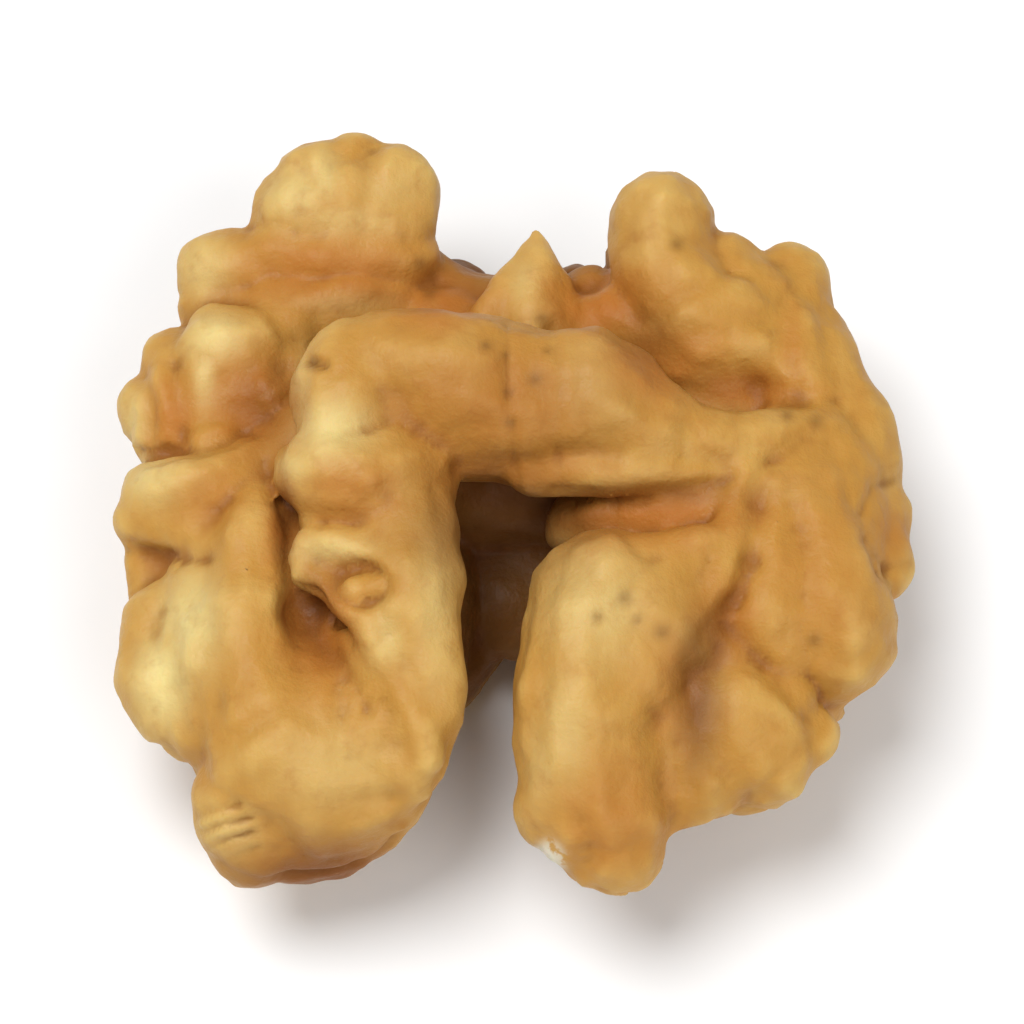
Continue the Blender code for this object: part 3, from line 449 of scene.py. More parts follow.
# Depth and half width of each crease, then its route as (across, up the view).
CREASES = {
    "arch_middle": (0.14, 0.24, [(-0.3, 8.0), (-0.35, 5.9), (-0.2, 3.4), (0.1, 0.6)]),
    "arch_seam": (0.10, 0.26, [(1.4, 7.6), (1.9, 5.4), (1.7, 2.6), (1.9, 0.6)]),
    "arch_vein": (0.06, 0.22, [(2.5, 6.8), (2.6, 5.2), (2.7, 3.4)]),
    "arch_to_knee": (0.16, 0.60, [(-5.8, 6.4), (-4.9, 4.6), (-3.8, 2.6), (-2.4, 0.8)]),
    "knee_pit": (0.40, 0.28, [(-8.6, 6.0), (-8.0, 5.9)]),
    "under_arch": (0.15, 0.35, [(1.6, 0.5), (4.4, 0.5), (7.0, 0.7), (9.0, 1.2)]),
    "crown_left": (0.14, 0.45, [(-9.2, 15.0), (-9.3, 13.4), (-9.6, 12.0)]),
    "crown_middle": (0.10, 0.40, [(-8.0, 15.4), (-7.9, 13.2), (-8.2, 11.6)]),
    "crown_right": (0.12, 0.45, [(-6.3, 15.4), (-6.3, 13.4), (-6.6, 11.8)]),
    "crown_foot": (0.08, 0.70, [(-11.6, 12.2), (-9.0, 11.5), (-6.0, 11.5), (-3.6, 11.6)]),
    "brow_lower": (0.18, 0.50, [(-14.6, 8.5), (-12.4, 8.7), (-10.4, 8.5), (-9.6, 7.2), (-9.8, 5.4)]),
    "shoulder_hollow": (0.30, 1.00, [(-11.6, 4.2), (-10.6, 3.6)]),
    "shoulder_side": (0.20, 0.40, [(-14.6, 6.0), (-14.4, 4.4), (-14.0, 2.6)]),
    "bump_side": (0.25, 0.40, [(-16.0, 5.6), (-15.6, 4.4), (-15.6, 2.4)]),
    "ear_top": (0.30, 0.35, [(-16.6, 2.2), (-14.0, 2.4), (-12.0, 2.8), (-10.4, 3.2)]),
    "ear_under": (0.35, 0.40, [(-16.6, -1.9), (-14.4, -2.2), (-13.0, -2.0)]),
    "flank_outer": (0.18, 0.45, [(-13.9, -5.2), (-13.8, -7.0), (-13.5, -9.2)]),
    "flank_inner": (0.15, 0.50, [(-12.2, -4.6), (-11.9, -6.4), (-12.0, -8.0)]),
    "heel_first": (0.20, 0.20, [(-13.0, -12.7), (-12.2, -12.3), (-11.2, -12.1)]),
    "heel_second": (0.25, 0.20, [(-13.0, -13.4), (-12.0, -12.9), (-10.8, -12.7)]),
    "heel_third": (0.25, 0.20, [(-12.8, -14.1), (-11.8, -13.6), (-10.6, -13.3)]),
    "heel_fourth": (0.20, 0.20, [(-12.4, -14.8), (-11.4, -14.3), (-10.4, -13.9)]),
    "foot_under": (0.25, 0.50, [(-9.6, -14.3), (-8.4, -14.6), (-6.0, -14.4), (-4.4, -13.2)]),
    "leg_valley": (0.60, 0.80, [(-8.8, -4.2), (-8.0, -5.4), (-7.0, -6.6), (-6.2, -8.0)]),
    "right_leg_under": (0.25, 0.50, [(9.6, -2.2), (9.2, -3.6), (7.8, -5.2), (6.4, -6.8), (5.6, -8.2)]),
    "foot_crease": (0.20, 0.45, [(6.6, -9.6), (6.6, -12.0), (6.8, -14.0)]),
    "fan_first": (0.10, 0.45, [(8.2, -5.6), (8.3, -8.0), (8.4, -9.6)]),
    "fan_second": (0.30, 0.45, [(8.6, -4.8), (10.2, -6.6), (11.6, -8.0), (12.6, -9.0)]),
    "toe": (0.30, 0.60, [(2.6, -12.8), (3.0, -13.6), (2.6, -15.0)]),
    "right_crown_corner": (0.05, 0.22, [(9.1, 7.6), (9.0, 6.6), (9.2, 5.4)]),
    "right_crown_edge": (0.15, 0.45, [(11.7, 8.2), (11.7, 6.8), (11.8, 5.2)]),
    "right_crown_under": (0.20, 0.60, [(4.6, 9.0), (5.9, 6.8), (7.4, 5.4), (10.0, 5.0), (12.0, 5.0)]),
    "rim_spot_upper": (0.20, 0.35, [(14.6, -0.2), (15.2, 0.9), (17.0, 1.2)]),
    "rim_spot_lower": (0.25, 0.35, [(14.6, -1.4), (15.2, -2.7), (16.8, -2.6)]),
}

# The small navel where the curl of the left leg closes: a ring pit round a nub.
NAVEL = (-6.3, -3.2)
NAVEL_HALF = (1.05, 0.75)
NAVEL_DEPTH = 0.35
NAVEL_WIDTH = 0.28


def smooth_step(value, low, high):
    t = np.clip((value - low) / (high - low), 0, 1)
    return t * t * (3 - 2 * t)


def point_rows(mesh, name):
    """The mesh's points or their normals, as rows of three numbers."""
    rows = np.empty(len(mesh.vertices) * 3)
    mesh.vertices.foreach_get(name, rows)
    return rows.reshape(-1, 3)


def view_place(points):
    """Across and up the view, for each point."""
    up = points[:, 1] * math.sin(VIEW_ANGLE) + (points[:, 2] - VIEW_HEIGHT) * math.cos(VIEW_ANGLE)
    return points[:, 0], up


def looks_up(normals):
    """How far the skin is turned to the eye: 1 when square to it, below 0 when turned away."""
    return -normals[:, 1] * math.cos(VIEW_ANGLE) + normals[:, 2] * math.sin(VIEW_ANGLE)


def inner_face(points, normals):
    """1 on skin of the inner face that looks up at the eye, falling to 0 on the rest."""
    facing = np.clip(FACING_GAIN * looks_up(normals), 0, 1)
    return facing * np.clip(points[:, 2] - CREASED_ABOVE, 0, 1)


def gap_to_route(across, up, route):
    """How far each point lies from a route, across the view."""
    gap = np.full(len(across), np.inf)
    for (a0, u0), (a1, u1) in zip(route, route[1:]):
        length_squared = (a1 - a0) ** 2 + (u1 - u0) ** 2
        t = np.clip(((across - a0) * (a1 - a0) + (up - u0) * (u1 - u0)) / length_squared, 0, 1)
        gap = np.minimum(gap, np.hypot(across - a0 - t * (a1 - a0), up - u0 - t * (u1 - u0)))
    return gap


def crease_depths(points, normals):
    """How deep the drawn creases and the navel's ring are pressed in at each point."""
    across, up = view_place(points)
    deepest = np.zeros(len(points))
    for depth, half_width, route in CREASES.values():
        gap = gap_to_route(across, up, route)
        deepest = np.maximum(deepest, depth * np.exp(-((gap / half_width) ** 2)))
    ring = np.hypot((across - NAVEL[0]) / NAVEL_HALF[0], (up - NAVEL[1]) / NAVEL_HALF[1])
    off_ring = (ring - 1) * NAVEL_HALF[1]
    deepest = np.maximum(deepest, NAVEL_DEPTH * np.exp(-((off_ring / NAVEL_WIDTH) ** 2)))
    return deepest * inner_face(points, normals)


def groove(position, wind):
    """1 on the line of a groove, falling off steeply to 0 between the lines."""
    return (1 - abs(math.sin(math.pi * (position + wind)))) ** 2


def groove_depth(spot):
    """How deep the winding grooves are pressed in at a point of the outer side."""
    share = min(1.0, max(0.0, (GROOVED_BELOW + GROOVES_FADE - spot.z) / GROOVES_FADE))
    if share == 0:
        return 0.0
    beside = min(1.0, max(0.0, abs(spot.x) / GROOVE_HALF - 1.0))
    wind = GROOVE_WIND * noise.noise(spot / WIND_SIZE)
    cross_wind = GROOVE_WIND * noise.noise(spot / WIND_SIZE + CROSS_SHIFT)
    girth = DOME_WIDTH / 2 * math.atan2(spot.x, RIM_HEIGHT + GIRTH_LIFT - min(spot.z, RIM_HEIGHT))
    along = GROOVE_DEPTH * groove(spot.y / GROOVE_PITCH, wind)
    around = CROSS_DEPTH * groove(girth / CROSS_PITCH, cross_wind)
    return share * beside * (along + around)


def two_scales(spot, size, shifts):
    """Noise of one size with weaker noise of half that size on it."""
    coarse = noise.noise(spot / size + shifts[0])
    return coarse + FINER_SHARE * noise.noise(spot / (size / 2) + shifts[1])


def lump(spot):
    """How far the uneven flesh and its fine puckers stand out at a point."""
    wide = two_scales(spot, LUMP_SIZE, LUMP_SHIFTS)
    return LUMP_HEIGHT * wide + PUCKER_HEIGHT * two_scales(spot, PUCKER_SIZE, PUCKER_SHIFTS)


def eased(values, edges, rounds):
    """Values at the points, each drawn halfway to the mean of its neighbours, again and again."""
    count = len(values)
    near, far = edges[:, 0], edges[:, 1]
    links = np.bincount(near, minlength=count) + np.bincount(far, minlength=count)
    for _ in range(rounds):
        total = np.stack([np.bincount(near, values[far, k], count) + np.bincount(far, values[near, k], count)
                          for k in range(values.shape[1])], axis=1)
        values = (values + total / links[:, None]) / 2
    return values


def mesh_edges(mesh):
    edges = np.empty(len(mesh.edges) * 2, dtype=np.int32)
    mesh.edges.foreach_get("vertices", edges)
    return edges.reshape(-1, 2)


def press_relief(mesh):
    points = point_rows(mesh, "co")
    normals = point_rows(mesh, "normal")
    creases = crease_depths(points, normals)
    rise = np.array([lump(spot) - groove_depth(spot) for spot in map(Vector, points)])
    mesh.vertices.foreach_set("co", (points + normals * (rise - creases)[:, None]).ravel())
    mesh.update()


press_relief(kernel.data)


def sink_depths(mesh, rounds):
    """How far each point lies below the eased surface over it: above 0 in a valley, below 0 on a crest."""
    points = point_rows(mesh, "co")
    over = eased(points, mesh_edges(mesh), rounds)
    return np.sum((over - points) * point_rows(mesh, "normal"), axis=1)


# The skin's colours, kept at the points of the mesh: how deep the folds are, which paints the crests lighter
# as highlight and the folds darker as shade, the creases painted dark as shade, where the skin is stained
# orange brown or painted with shade, where it is painted pale and lit, the painted shade of the hollows, its
# dark specks, and the spot at the right foot where the skin is torn off the white flesh.
WIDE_ROUNDS = 90
CLOSE_ROUNDS = 10
FOLD_RANGE = 0.55
CREASE_SHADE_SPAN = (0.02, 0.12)
SHOWN_GAIN = 4.0
SHOWN_LEAST = 0.4
HIGH_SPAN = (4.0, 7.0)
STAIN_AND_SHADE_EDGE = 2.6
SOFT_EDGE = 2.2
SPECK_EDGE = 2.0
BARE_EDGE = 5.0

# Middle (across, up the view), half sizes and strength of each orange-brown patch: partly the skin's own
# stain, partly painted shade in the valleys, gaps and under the folds.
STAINS_AND_SHADE_PLACES = {
    "brow": ((-7.8, 10.0), (4.6, 1.7), 0.85),
    "brow_end": ((-3.2, 8.9), (2.4, 1.8), 1.0),
    "shoulder_hollow": ((-10.9, 4.3), (2.1, 2.2), 1.0),
    "shoulder_side": ((-14.6, 3.8), (1.2, 1.8), 0.8),
    "ear_right": ((-12.6, 0.4), (1.9, 1.3), 0.4),
    "spur_gap": ((-9.6, -0.6), (0.8, 2.0), 1.0),
    "knee_under": ((-6.6, 0.2), (2.2, 0.9), 0.6),
    "leg_valley": ((-7.9, -5.0), (1.5, 2.2), 1.0),
    "foot_under": ((-7.6, -15.2), (3.8, 1.5), 0.9),
    "arch_under": ((-0.6, 1.2), (3.6, 1.5), 0.7),
    "saddle_right": ((3.6, 8.6), (2.6, 1.8), 1.0),
    "crown_valley": ((6.0, 6.0), (2.8, 1.8), 0.9),
    "crown_valley_end": ((9.4, 5.0), (2.8, 0.9), 0.9),
    "crown_edge": ((11.8, 6.6), (0.6, 1.8), 0.5),
    "groove_floor": ((5.0, -0.4), (5.0, 1.2), 1.0),
    "leg_side": ((8.6, -4.6), (1.4, 2.0), 0.7),
    "leg_side_low": ((6.6, -7.4), (1.3, 2.2), 0.6),
    "rim_spot": ((15.9, -1.2), (0.9, 1.2), 0.6),
    "cheek": ((12.6, -2.6), (2.6, 4.0), 0.3),
    "arch": ((-0.6, 4.0), (4.0, 2.8), 0.55),
    "knee_low": ((-6.6, 0.9), (2.0, 1.0), 0.75),
    "right_foot_low": ((4.0, -12.6), (2.4, 2.4), 0.55),
}

# Middle (across, up the view), half sizes and strength of each place painted darkest brown as shade.
SHADE_PLACES = {
    "leg_valley": ((-8.2, -4.4), (0.9, 1.7), 0.85),
    "spur_gap": ((-9.5, -0.5), (0.5, 1.5), 0.9),
    "under_arch": ((5.0, 0.5), (4.6, 0.6), 0.5),
    "behind_arch": ((-0.9, -0.8), (3.2, 2.4), 1.0),
    "hollow_shade": ((-10.6, 4.3), (1.5, 1.5), 0.45),
    "foot_under": ((-7.8, -15.2), (3.8, 1.6), 0.85),
    "fan_valley": ((7.4, -7.6), (1.0, 3.4), 0.9),
    "crown_valley": ((5.6, 7.0), (1.6, 1.7), 0.5),
    "crown_valley_end": ((8.6, 5.2), (2.2, 0.6), 0.35),
    "arch": ((0.4, 4.2), (6.0, 2.8), 0.2),
    "ledge_end": ((2.1, -0.5), (1.6, 1.3), 0.75),
    "leg_side": ((8.1, -5.3), (0.9, 1.4), 0.7),
}

# Middle (across, up the view), half sizes and strength of each place painted pale: partly skin stretched
# pale, partly painted highlight where the light falls on the lobes.
PALE_AND_LIT_PLACES = {
    "crown_left": ((-9.6, 13.6), (1.5, 1.5), 0.55),
    "crown_ridge": ((-8.3, 14.4), (0.7, 1.3), 0.6),
    "crown_right": ((-5.4, 13.8), (1.6, 1.4), 0.3),
    "shoulder": ((-12.8, 7.2), (1.3, 1.1), 0.75),
    "shoulder_ridge": ((-13.2, 5.6), (0.5, 1.2), 0.7),
    "bump": ((-16.2, 3.6), (0.7, 1.3), 0.6),
    "ear": ((-15.3, 1.2), (1.5, 1.2), 0.6),
    "brow_left": ((-13.4, 10.2), (1.3, 1.3), 0.6),
    "brow_pleat": ((-7.8, 8.8), (1.8, 0.4), 0.4),
    "crown_low": ((-7.6, 12.3), (3.0, 0.8), 0.35),
    "knee_rim": ((-8.9, 5.0), (0.5, 1.5), 0.5),
    "knee": ((-7.6, 3.2), (1.8, 1.2), 0.8),
    "knee_nub": ((-9.0, 1.6), (0.8, 0.6), 0.5),
    "curl": ((-7.6, -1.8), (1.8, 0.5), 0.6),
    "leg_crest": ((-5.2, -5.2), (0.7, 1.2), 0.5),
    "flank": ((-13.4, -4.8), (1.5, 2.2), 0.8),
    "flank_low": ((-14.5, -7.2), (1.2, 2.0), 0.95),
    "foot": ((-7.6, -10.4), (2.6, 1.8), 0.3),
    "root_tip": ((0.4, 9.6), (0.7, 1.2), 0.4),
    "heel": ((-11.4, -13.2), (1.2, 1.2), 0.4),
    "arch_right": ((3.2, 5.2), (1.6, 1.6), 0.2),
    "leg_inner": ((-3.2, -4.2), (0.9, 3.2), 0.4),
    "right_leg_inner": ((1.0, -10.4), (0.8, 2.0), 0.35),
    "right_crown": ((5.9, 12.4), (1.8, 1.6), 0.1),
    "right_leg": ((3.2, -4.0), (2.2, 2.4), 0.5),
    "right_leg_low": ((2.0, -9.0), (1.0, 2.6), 0.4),
}

# Middle (across, up the view) and half width of each dark speck.
SPECKS = [
    ((-8.3, 5.9), 0.32), ((0.8, 5.2), 0.30), ((-1.2, 6.6), 0.22), ((-0.4, 6.2), 0.18), ((-0.3, 4.6), 0.16),
    ((-0.2, 3.4), 0.2), ((1.3, 6.4), 0.16), ((4.4, -3.7), 0.34), ((3.3, -4.5), 0.24), ((5.9, -5.1), 0.34),
    ((4.9, -4.6), 0.2), ((11.4, 3.8), 0.28), ((12.6, 3.5), 0.34), ((6.9, 11.2), 0.3), ((-4.1, 10.5), 0.3),
    ((-3.7, 9.2), 0.3), ((12.2, -5.5), 0.3), ((1.1, 8.0), 0.26),
]

# The hollow under the arch and between the two sides, painted darkest brown as shade as well.
HOLLOW_TOP = 11.5
HOLLOW_DEPTH = 3.0
HOLLOW_HALF = 5.0
HOLLOW_EDGE = 1.5
HOLLOW_ENDS = (-13.0, -6.0)
HOLLOW_FOOT = (1.0, 3.0)

# The spot where the skin is torn off.
BARE_SPOT = (1.35, -14.3)
BARE_HALF = (0.65, 0.85)


def spot_mask(across, up, middle, half_sizes, sharpness):
    """1 in the middle of a soft oval as the eye sees it, falling to 0 outside."""
    reach = np.hypot((across - middle[0]) / half_sizes[0], (up - middle[1]) / half_sizes[1])
    return np.exp(-(reach**sharpness))


def strongest(places, across, up, sharpness):
    """The strength of the strongest of several soft ovals at each point."""
    strength_there = np.zeros(len(across))
    for middle, half_sizes, strength in places.values():
        oval = strength * spot_mask(across, up, middle, half_sizes, sharpness)
        strength_there = np.maximum(strength_there, oval)
    return strength_there


def store(mesh, name, values):
    layer = mesh.attributes.new(name, "FLOAT", "POINT")
    layer.data.foreach_set("value", values.astype(np.float32))


def paint_skin(mesh):
    points = point_rows(mesh, "co")
    normals = point_rows(mesh, "normal")
    across, up = view_place(points)
    shown = np.clip(SHOWN_GAIN * looks_up(normals) + SHOWN_LEAST, 0, 1)
    shown_or_high = np.maximum(shown, smooth_step(points[:, 2], *HIGH_SPAN))
    wide = sink_depths(mesh, WIDE_ROUNDS)
    close = sink_depths(mesh, CLOSE_ROUNDS)
    # Painted light and shade: the crests are painted lighter as highlight and the folds darker as shade, by
    # how far each point lies below the widely eased surface.
    store(mesh, "fold_depth", np.clip(wide / FOLD_RANGE, -1, 1))
    # Painted shade in the narrow creases and small dimples, where the closely eased surface lies above the
    # skin.
    store(mesh, "crease_shade", smooth_step(close, *CREASE_SHADE_SPAN))
    # Orange-brown patches: partly the skin's own stain, partly painted shade in the valleys, gaps and under
    # the folds.
    store(mesh, "stain_and_shade", strongest(STAINS_AND_SHADE_PLACES, across, up, STAIN_AND_SHADE_EDGE) * shown)
    # Pale patches: partly skin stretched pale, partly painted highlight where the light falls on the lobes.
    store(mesh, "pale_and_lit", strongest(PALE_AND_LIT_PLACES, across, up, SOFT_EDGE) * shown)
    # Painted shade in the hollow under the arch and between the two sides.
    hollow_shade = smooth_step(HOLLOW_TOP - points[:, 2], 0, HOLLOW_DEPTH)
    hollow_shade *= smooth_step(HOLLOW_HALF - np.abs(across), 0, HOLLOW_EDGE)
    hollow_shade *= smooth_step(points[:, 1], *HOLLOW_ENDS) * smooth_step(points[:, 2], *HOLLOW_FOOT)
    # Painted shade at the listed darkest places, on skin that faces the eye or stands high.
    placed_shade = strongest(SHADE_PLACES, across, up, SOFT_EDGE) * shown_or_high
    store(mesh, "hollow_shade", np.maximum(hollow_shade, placed_shade))
    speck = np.zeros(len(points))
    for middle, half_width in SPECKS:
        speck = np.maximum(speck, spot_mask(across, up, middle, (half_width, half_width), SPECK_EDGE))
    store(mesh, "speck", speck * shown)
    store(mesh, "bare", spot_mask(across, up, BARE_SPOT, BARE_HALF, BARE_EDGE))


paint_skin(kernel.data)


def seat(mesh, node):
    """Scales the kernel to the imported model's width and presses its lowest folds flat on the table."""
    low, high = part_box(node)
    points = point_rows(mesh, "co")
    least, most = points.min(axis=0), points.max(axis=0)
    scale = (high[0] - low[0]) / (most[0] - least[0])
    middle = np.array([(least[0] + most[0]) / 2, (least[1] + most[1]) / 2, 0.0])
    place = np.array([(low[0] + high[0]) / 2, (low[1] + high[1]) / 2, 0.0])
    points = (points - middle) * scale + place
    points[:, 2] += low[2] - points[:, 2].min() - REST_CUT * MM
    points[:, 2] = np.maximum(points[:, 2], low[2])
    mesh.vertices.foreach_set("co", points.ravel())
    mesh.update()
    mesh.shade_smooth()


seat(kernel.data, "kernel")
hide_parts("kernel")
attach(kernel, "root")

# The skin: a thin tan seed coat, tight over the flesh, faintly waxy, paler where it is stretched over the
# crests and browner in the folds, with a faint net of veins. On top of that tone the crests are painted
# lighter as highlight, and the folds, creases and hollows darker as painted shade.
CREST_COLOUR = (0.76, 0.56, 0.19, 1.0)
# Pale skin and painted highlight.
PALE_AND_LIT_COLOUR = (0.74, 0.61, 0.25, 1.0)
SKIN_COLOUR = (0.48, 0.240, 0.045, 1.0)
FOLD_COLOUR = (0.33, 0.115, 0.018, 1.0)
# Orange-brown stain and painted shade.
STAIN_AND_SHADE_COLOUR = (0.42, 0.150, 0.022, 1.0)
# Painted shade in the creases.
CREASE_SHADE_COLOUR = (0.21, 0.068, 0.009, 1.0)
# Painted shade in the hollows and darkest places.
HOLLOW_SHADE_COLOUR = (0.12, 0.034, 0.007, 1.0)
SPECK_COLOUR = (0.13, 0.050, 0.010, 1.0)
VEIN_COLOUR = (0.36, 0.145, 0.03, 1.0)
FLESH_COLOUR = (0.66, 0.60, 0.46, 1.0)
CLOUD_SIZE = 0.0045
MOTTLE_SIZE = 0.0012
FINE_SIZE = 0.0003
STREAK_SIZES = (0.0009, 0.0035, 0.0030)
VEIN_SIZE = 0.0032
VEIN_BEND = 0.003
VEIN_BEND_SIZE = 0.0025
CREST_SPAN = (-0.15, -0.95)
CREST_SHARE = 0.45
CLOUD_SPAN = (0.5, 0.75)
CLOUD_SHARE = 0.20
PALE_AND_LIT_SPAN = (0.25, 0.6)
PALE_AND_LIT_LEAST = 0.75
FOLD_SPAN = (0.0, 0.9)
FOLD_SHARE = 0.85
MOTTLE_SPAN = (0.52, 0.78)
MOTTLE_SHARE = 0.30
STREAK_DARK_SPAN = (0.50, 0.75)
STREAK_DARK_SHARE = 0.10
STREAK_LIGHT_SPAN = (0.50, 0.25)
STREAK_LIGHT_SHARE = 0.08
STAIN_AND_SHADE_SPAN = (0.2, 0.55)
STAIN_AND_SHADE_LEAST = 0.65
CREASE_SHADE_SHARE = 0.5
HOLLOW_SHADE_SHARE = 0.8
VEIN_SPAN = (0.10, 0.0)
VEINED_SPAN = (0.4, 0.65)
VEIN_SHARE = 0.16
SPECK_SHARE = 0.5
BARE_SPAN = (0.38, 0.46)
ROUGH_SPAN = (0.3, 0.75)
ROUGHNESS_LEAST = 0.42
ROUGHNESS_MOST = 0.60
GLOSS = 0.18
GLOW_THROUGH = 0.25
GLOW_DEPTH = 0.0012
GLOW_REACH = (1.0, 0.45, 0.18)
GRAIN_STRENGTH = 0.45
GRAIN_HEIGHT = 0.0003
MOTTLE_RELIEF = 0.5
FINE_RELIEF = 0.25
STREAK_RELIEF = 0.18


def skin_material():
    material = bpy.data.materials.new("seed_coat")
    material.use_nodes = True
    tree = material.node_tree
    shader = tree.nodes["Principled BSDF"]

    def node(kind, **settings):
        made = tree.nodes.new(kind)
        for name, value in settings.items():
            setattr(made, name, value)
        return made

    def join(value, socket):
        if isinstance(value, bpy.types.NodeSocket):
            tree.links.new(value, socket)
        else:
            socket.default_value = value

    def math_of(operation, first, second):
        made = node("ShaderNodeMath", operation=operation, use_clamp=True)
        join(first, made.inputs[0])
        join(second, made.inputs[1])
        return made.outputs[0]

    def times(first, second):
        return math_of("MULTIPLY", first, second)

    def painted(name):
        return node("ShaderNodeAttribute", attribute_name=name).outputs["Fac"]

    def between(value, span, most=1.0, least=0.0):
        made = node("ShaderNodeMapRange", interpolation_type="SMOOTHSTEP")
        join(value, made.inputs["Value"])
        made.inputs["From Min"].default_value = span[0]
        made.inputs["From Max"].default_value = span[1]
        made.inputs["To Min"].default_value = least
        made.inputs["To Max"].default_value = most
        return made.outputs["Result"]

    def mixed(under, over, share):
        made = node("ShaderNodeMix", data_type="RGBA")
        join(under, made.inputs["A"])
        join(over, made.inputs["B"])
        join(share, made.inputs["Factor"])
        return made.outputs["Result"]

    place = node("ShaderNodeTexCoord").outputs["Object"]

    def stretched(sizes):
        made = node("ShaderNodeMapping")
        join(place, made.inputs["Vector"])
        made.inputs["Scale"].default_value = [1 / size for size in sizes]
        return made.outputs["Vector"]

    def grain(size, detail, roughness, over=place):
        made = node("ShaderNodeTexNoise")
        join(over, made.inputs["Vector"])
        made.inputs["Scale"].default_value = 1 / size
        made.inputs["Detail"].default_value = detail
        made.inputs["Roughness"].default_value = roughness
        return made

    cloud = grain(CLOUD_SIZE, 3, 0.55).outputs["Fac"]
    mottle = grain(MOTTLE_SIZE, 4, 0.6).outputs["Fac"]
    streak = grain(1.0, 3, 0.55, stretched(STREAK_SIZES)).outputs["Fac"]
    fine = grain(FINE_SIZE, 3, 0.6).outputs["Fac"]

    fold = painted("fold_depth")
    # Crests: painted highlight over the skin's paler tone there.
    colour = mixed(SKIN_COLOUR, CREST_COLOUR, between(fold, CREST_SPAN, CREST_SHARE))
    colour = mixed(colour, CREST_COLOUR, between(cloud, CLOUD_SPAN, CLOUD_SHARE))
    # Pale patches: stretched skin and painted highlight.
    pale_and_lit = times(painted("pale_and_lit"), between(mottle, PALE_AND_LIT_SPAN, least=PALE_AND_LIT_LEAST))
    colour = mixed(colour, PALE_AND_LIT_COLOUR, pale_and_lit)
    # Folds: painted shade over the skin's browner tone there.
    colour = mixed(colour, FOLD_COLOUR, between(fold, FOLD_SPAN, FOLD_SHARE))
    colour = mixed(colour, FOLD_COLOUR, between(mottle, MOTTLE_SPAN, MOTTLE_SHARE))
    colour = mixed(colour, FOLD_COLOUR, between(streak, STREAK_DARK_SPAN, STREAK_DARK_SHARE))
    colour = mixed(colour, CREST_COLOUR, between(streak, STREAK_LIGHT_SPAN, STREAK_LIGHT_SHARE))
    # Orange-brown patches: real stain and painted shade.
    stain_and_shade = times(painted("stain_and_shade"), between(mottle, STAIN_AND_SHADE_SPAN, least=STAIN_AND_SHADE_LEAST))
    colour = mixed(colour, STAIN_AND_SHADE_COLOUR, stain_and_shade)
    # Painted shade in the creases.
    colour = mixed(colour, CREASE_SHADE_COLOUR, times(painted("crease_shade"), CREASE_SHADE_SHARE))
    # Painted shade in the hollows and darkest places.
    colour = mixed(colour, HOLLOW_SHADE_COLOUR, times(painted("hollow_shade"), HOLLOW_SHADE_SHARE))

    veins = node("ShaderNodeTexVoronoi", feature="DISTANCE_TO_EDGE")
    bend = node("ShaderNodeMix", data_type="VECTOR")
    join(place, bend.inputs["A"])
    join(grain(VEIN_BEND_SIZE, 2, 0.5).outputs["Color"], bend.inputs["B"])
    bend.inputs["Factor"].default_value = VEIN_BEND
    join(bend.outputs["Result"], veins.inputs["Vector"])
    veins.inputs["Scale"].default_value = 1 / VEIN_SIZE
    vein_line = between(veins.outputs["Distance"], VEIN_SPAN)
    colour = mixed(colour, VEIN_COLOUR, times(vein_line, between(cloud, VEINED_SPAN, VEIN_SHARE)))
    colour = mixed(colour, SPECK_COLOUR, times(painted("speck"), SPECK_SHARE))
    colour = mixed(colour, FLESH_COLOUR, times(painted("bare"), between(mottle, BARE_SPAN)))
    join(colour, shader.inputs["Base Color"])

    roughness = between(mottle, ROUGH_SPAN, ROUGHNESS_MOST, ROUGHNESS_LEAST)
    join(roughness, shader.inputs["Roughness"])
    shader.inputs["Specular IOR Level"].default_value = GLOSS
    shader.inputs["Subsurface Weight"].default_value = GLOW_THROUGH
    shader.inputs["Subsurface Radius"].default_value = GLOW_REACH
    shader.inputs["Subsurface Scale"].default_value = GLOW_DEPTH

    relief = math_of("ADD", times(mottle, MOTTLE_RELIEF), times(fine, FINE_RELIEF))
    relief = math_of("ADD", relief, times(streak, STREAK_RELIEF))
    bump = node("ShaderNodeBump")
    bump.inputs["Strength"].default_value = GRAIN_STRENGTH
    bump.inputs["Distance"].default_value = GRAIN_HEIGHT
    join(relief, bump.inputs["Height"])
    join(bump.outputs["Normal"], shader.inputs["Normal"])
    return material


kernel.data.materials.append(skin_material())

# The light: a broad soft window high on the left, a weaker one on the right that stands towards the camera,
# and the bright white walls of the room all round.
KEY_PLACE = (-0.10, 0.02, 0.31)
KEY_SIZE = 0.20
KEY_POWER = 0.88
FILL_PLACE = (0.16, -0.20, 0.26)
FILL_SIZE = 0.24
FILL_POWER = 0.52
ROOM_COLOUR = (1.0, 1.0, 1.0, 1.0)
ROOM_BRIGHTNESS = 0.31


def hang_light(name, place, size, power):
    light = bpy.data.objects.new(name, bpy.data.lights.new(name, "AREA"))
    light.data.shape = "DISK"
    light.data.size = size
    light.data.energy = power
    light.location = place
    light.rotation_euler = (-Vector(place)).to_track_quat("-Z", "Y").to_euler()
    scene.collection.objects.link(light)


hang_light("key", KEY_PLACE, KEY_SIZE, KEY_POWER)
hang_light("fill", FILL_PLACE, FILL_SIZE, FILL_POWER)
room = bpy.data.worlds.new("room")
room.use_nodes = True
walls = room.node_tree.nodes["Background"]
walls.inputs["Color"].default_value = ROOM_COLOUR
walls.inputs["Strength"].default_value = ROOM_BRIGHTNESS
scene.world = room
scene.view_settings.view_transform = "Standard"

# The camera stands on the notch's side and looks steeply down at the inner face. Its long lens keeps the
# kernel's sides nearly parallel.
FRAME_WIDTH = 0.0409
LENS = 120.0
NEAREST_SEEN = 0.005
FARTHEST_SEEN = 5.0


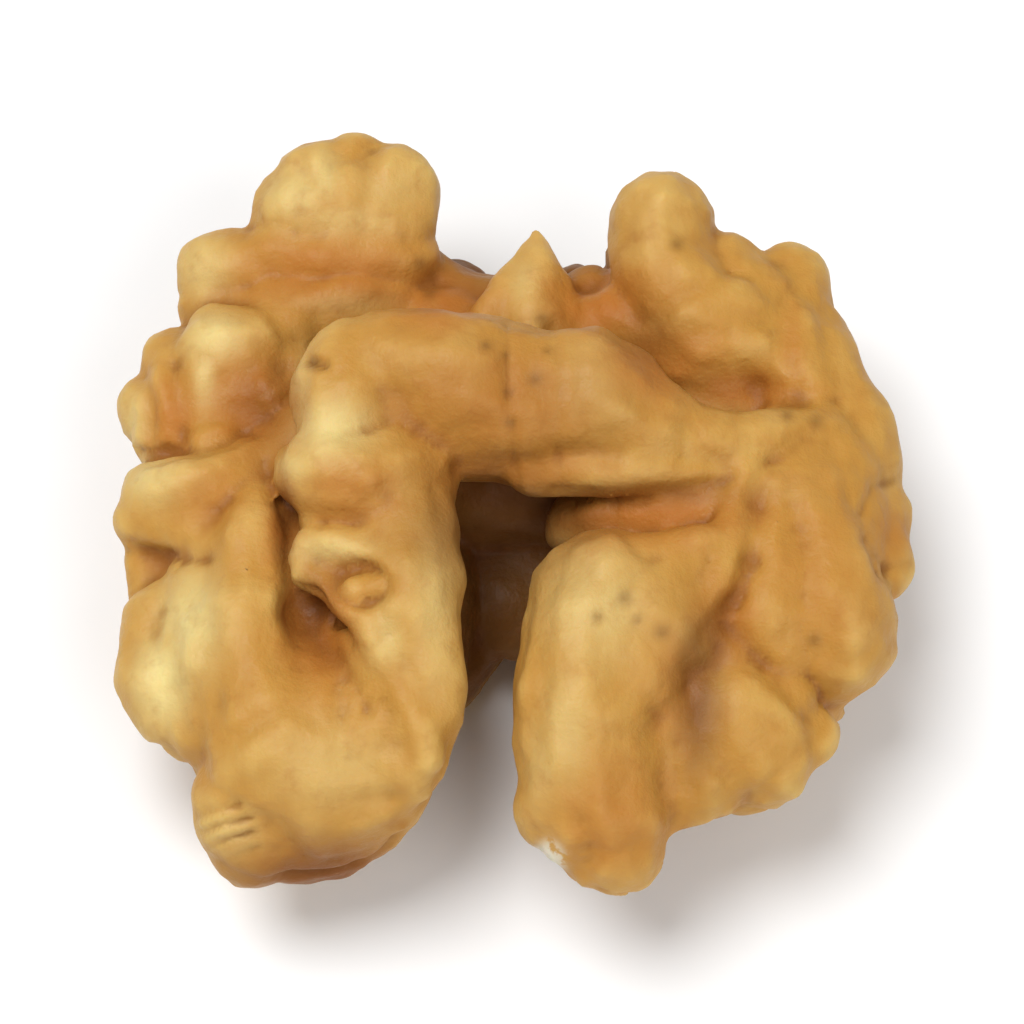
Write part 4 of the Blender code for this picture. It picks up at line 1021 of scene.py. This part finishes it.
def set_camera():
    camera = bpy.data.objects.new("camera", bpy.data.cameras.new("camera"))
    camera.data.lens = LENS
    camera.data.clip_start = NEAREST_SEEN
    camera.data.clip_end = FARTHEST_SEEN
    back = Vector((0.0, -math.cos(VIEW_ANGLE), math.sin(VIEW_ANGLE)))
    middle = (Vector(cad_low) + Vector(cad_high)) / 2
    camera.location = middle + back * (FRAME_WIDTH / camera.data.sensor_width * LENS)
    camera.rotation_euler = (-back).to_track_quat("-Z", "Y").to_euler()
    scene.collection.objects.link(camera)
    scene.camera = camera


set_camera()
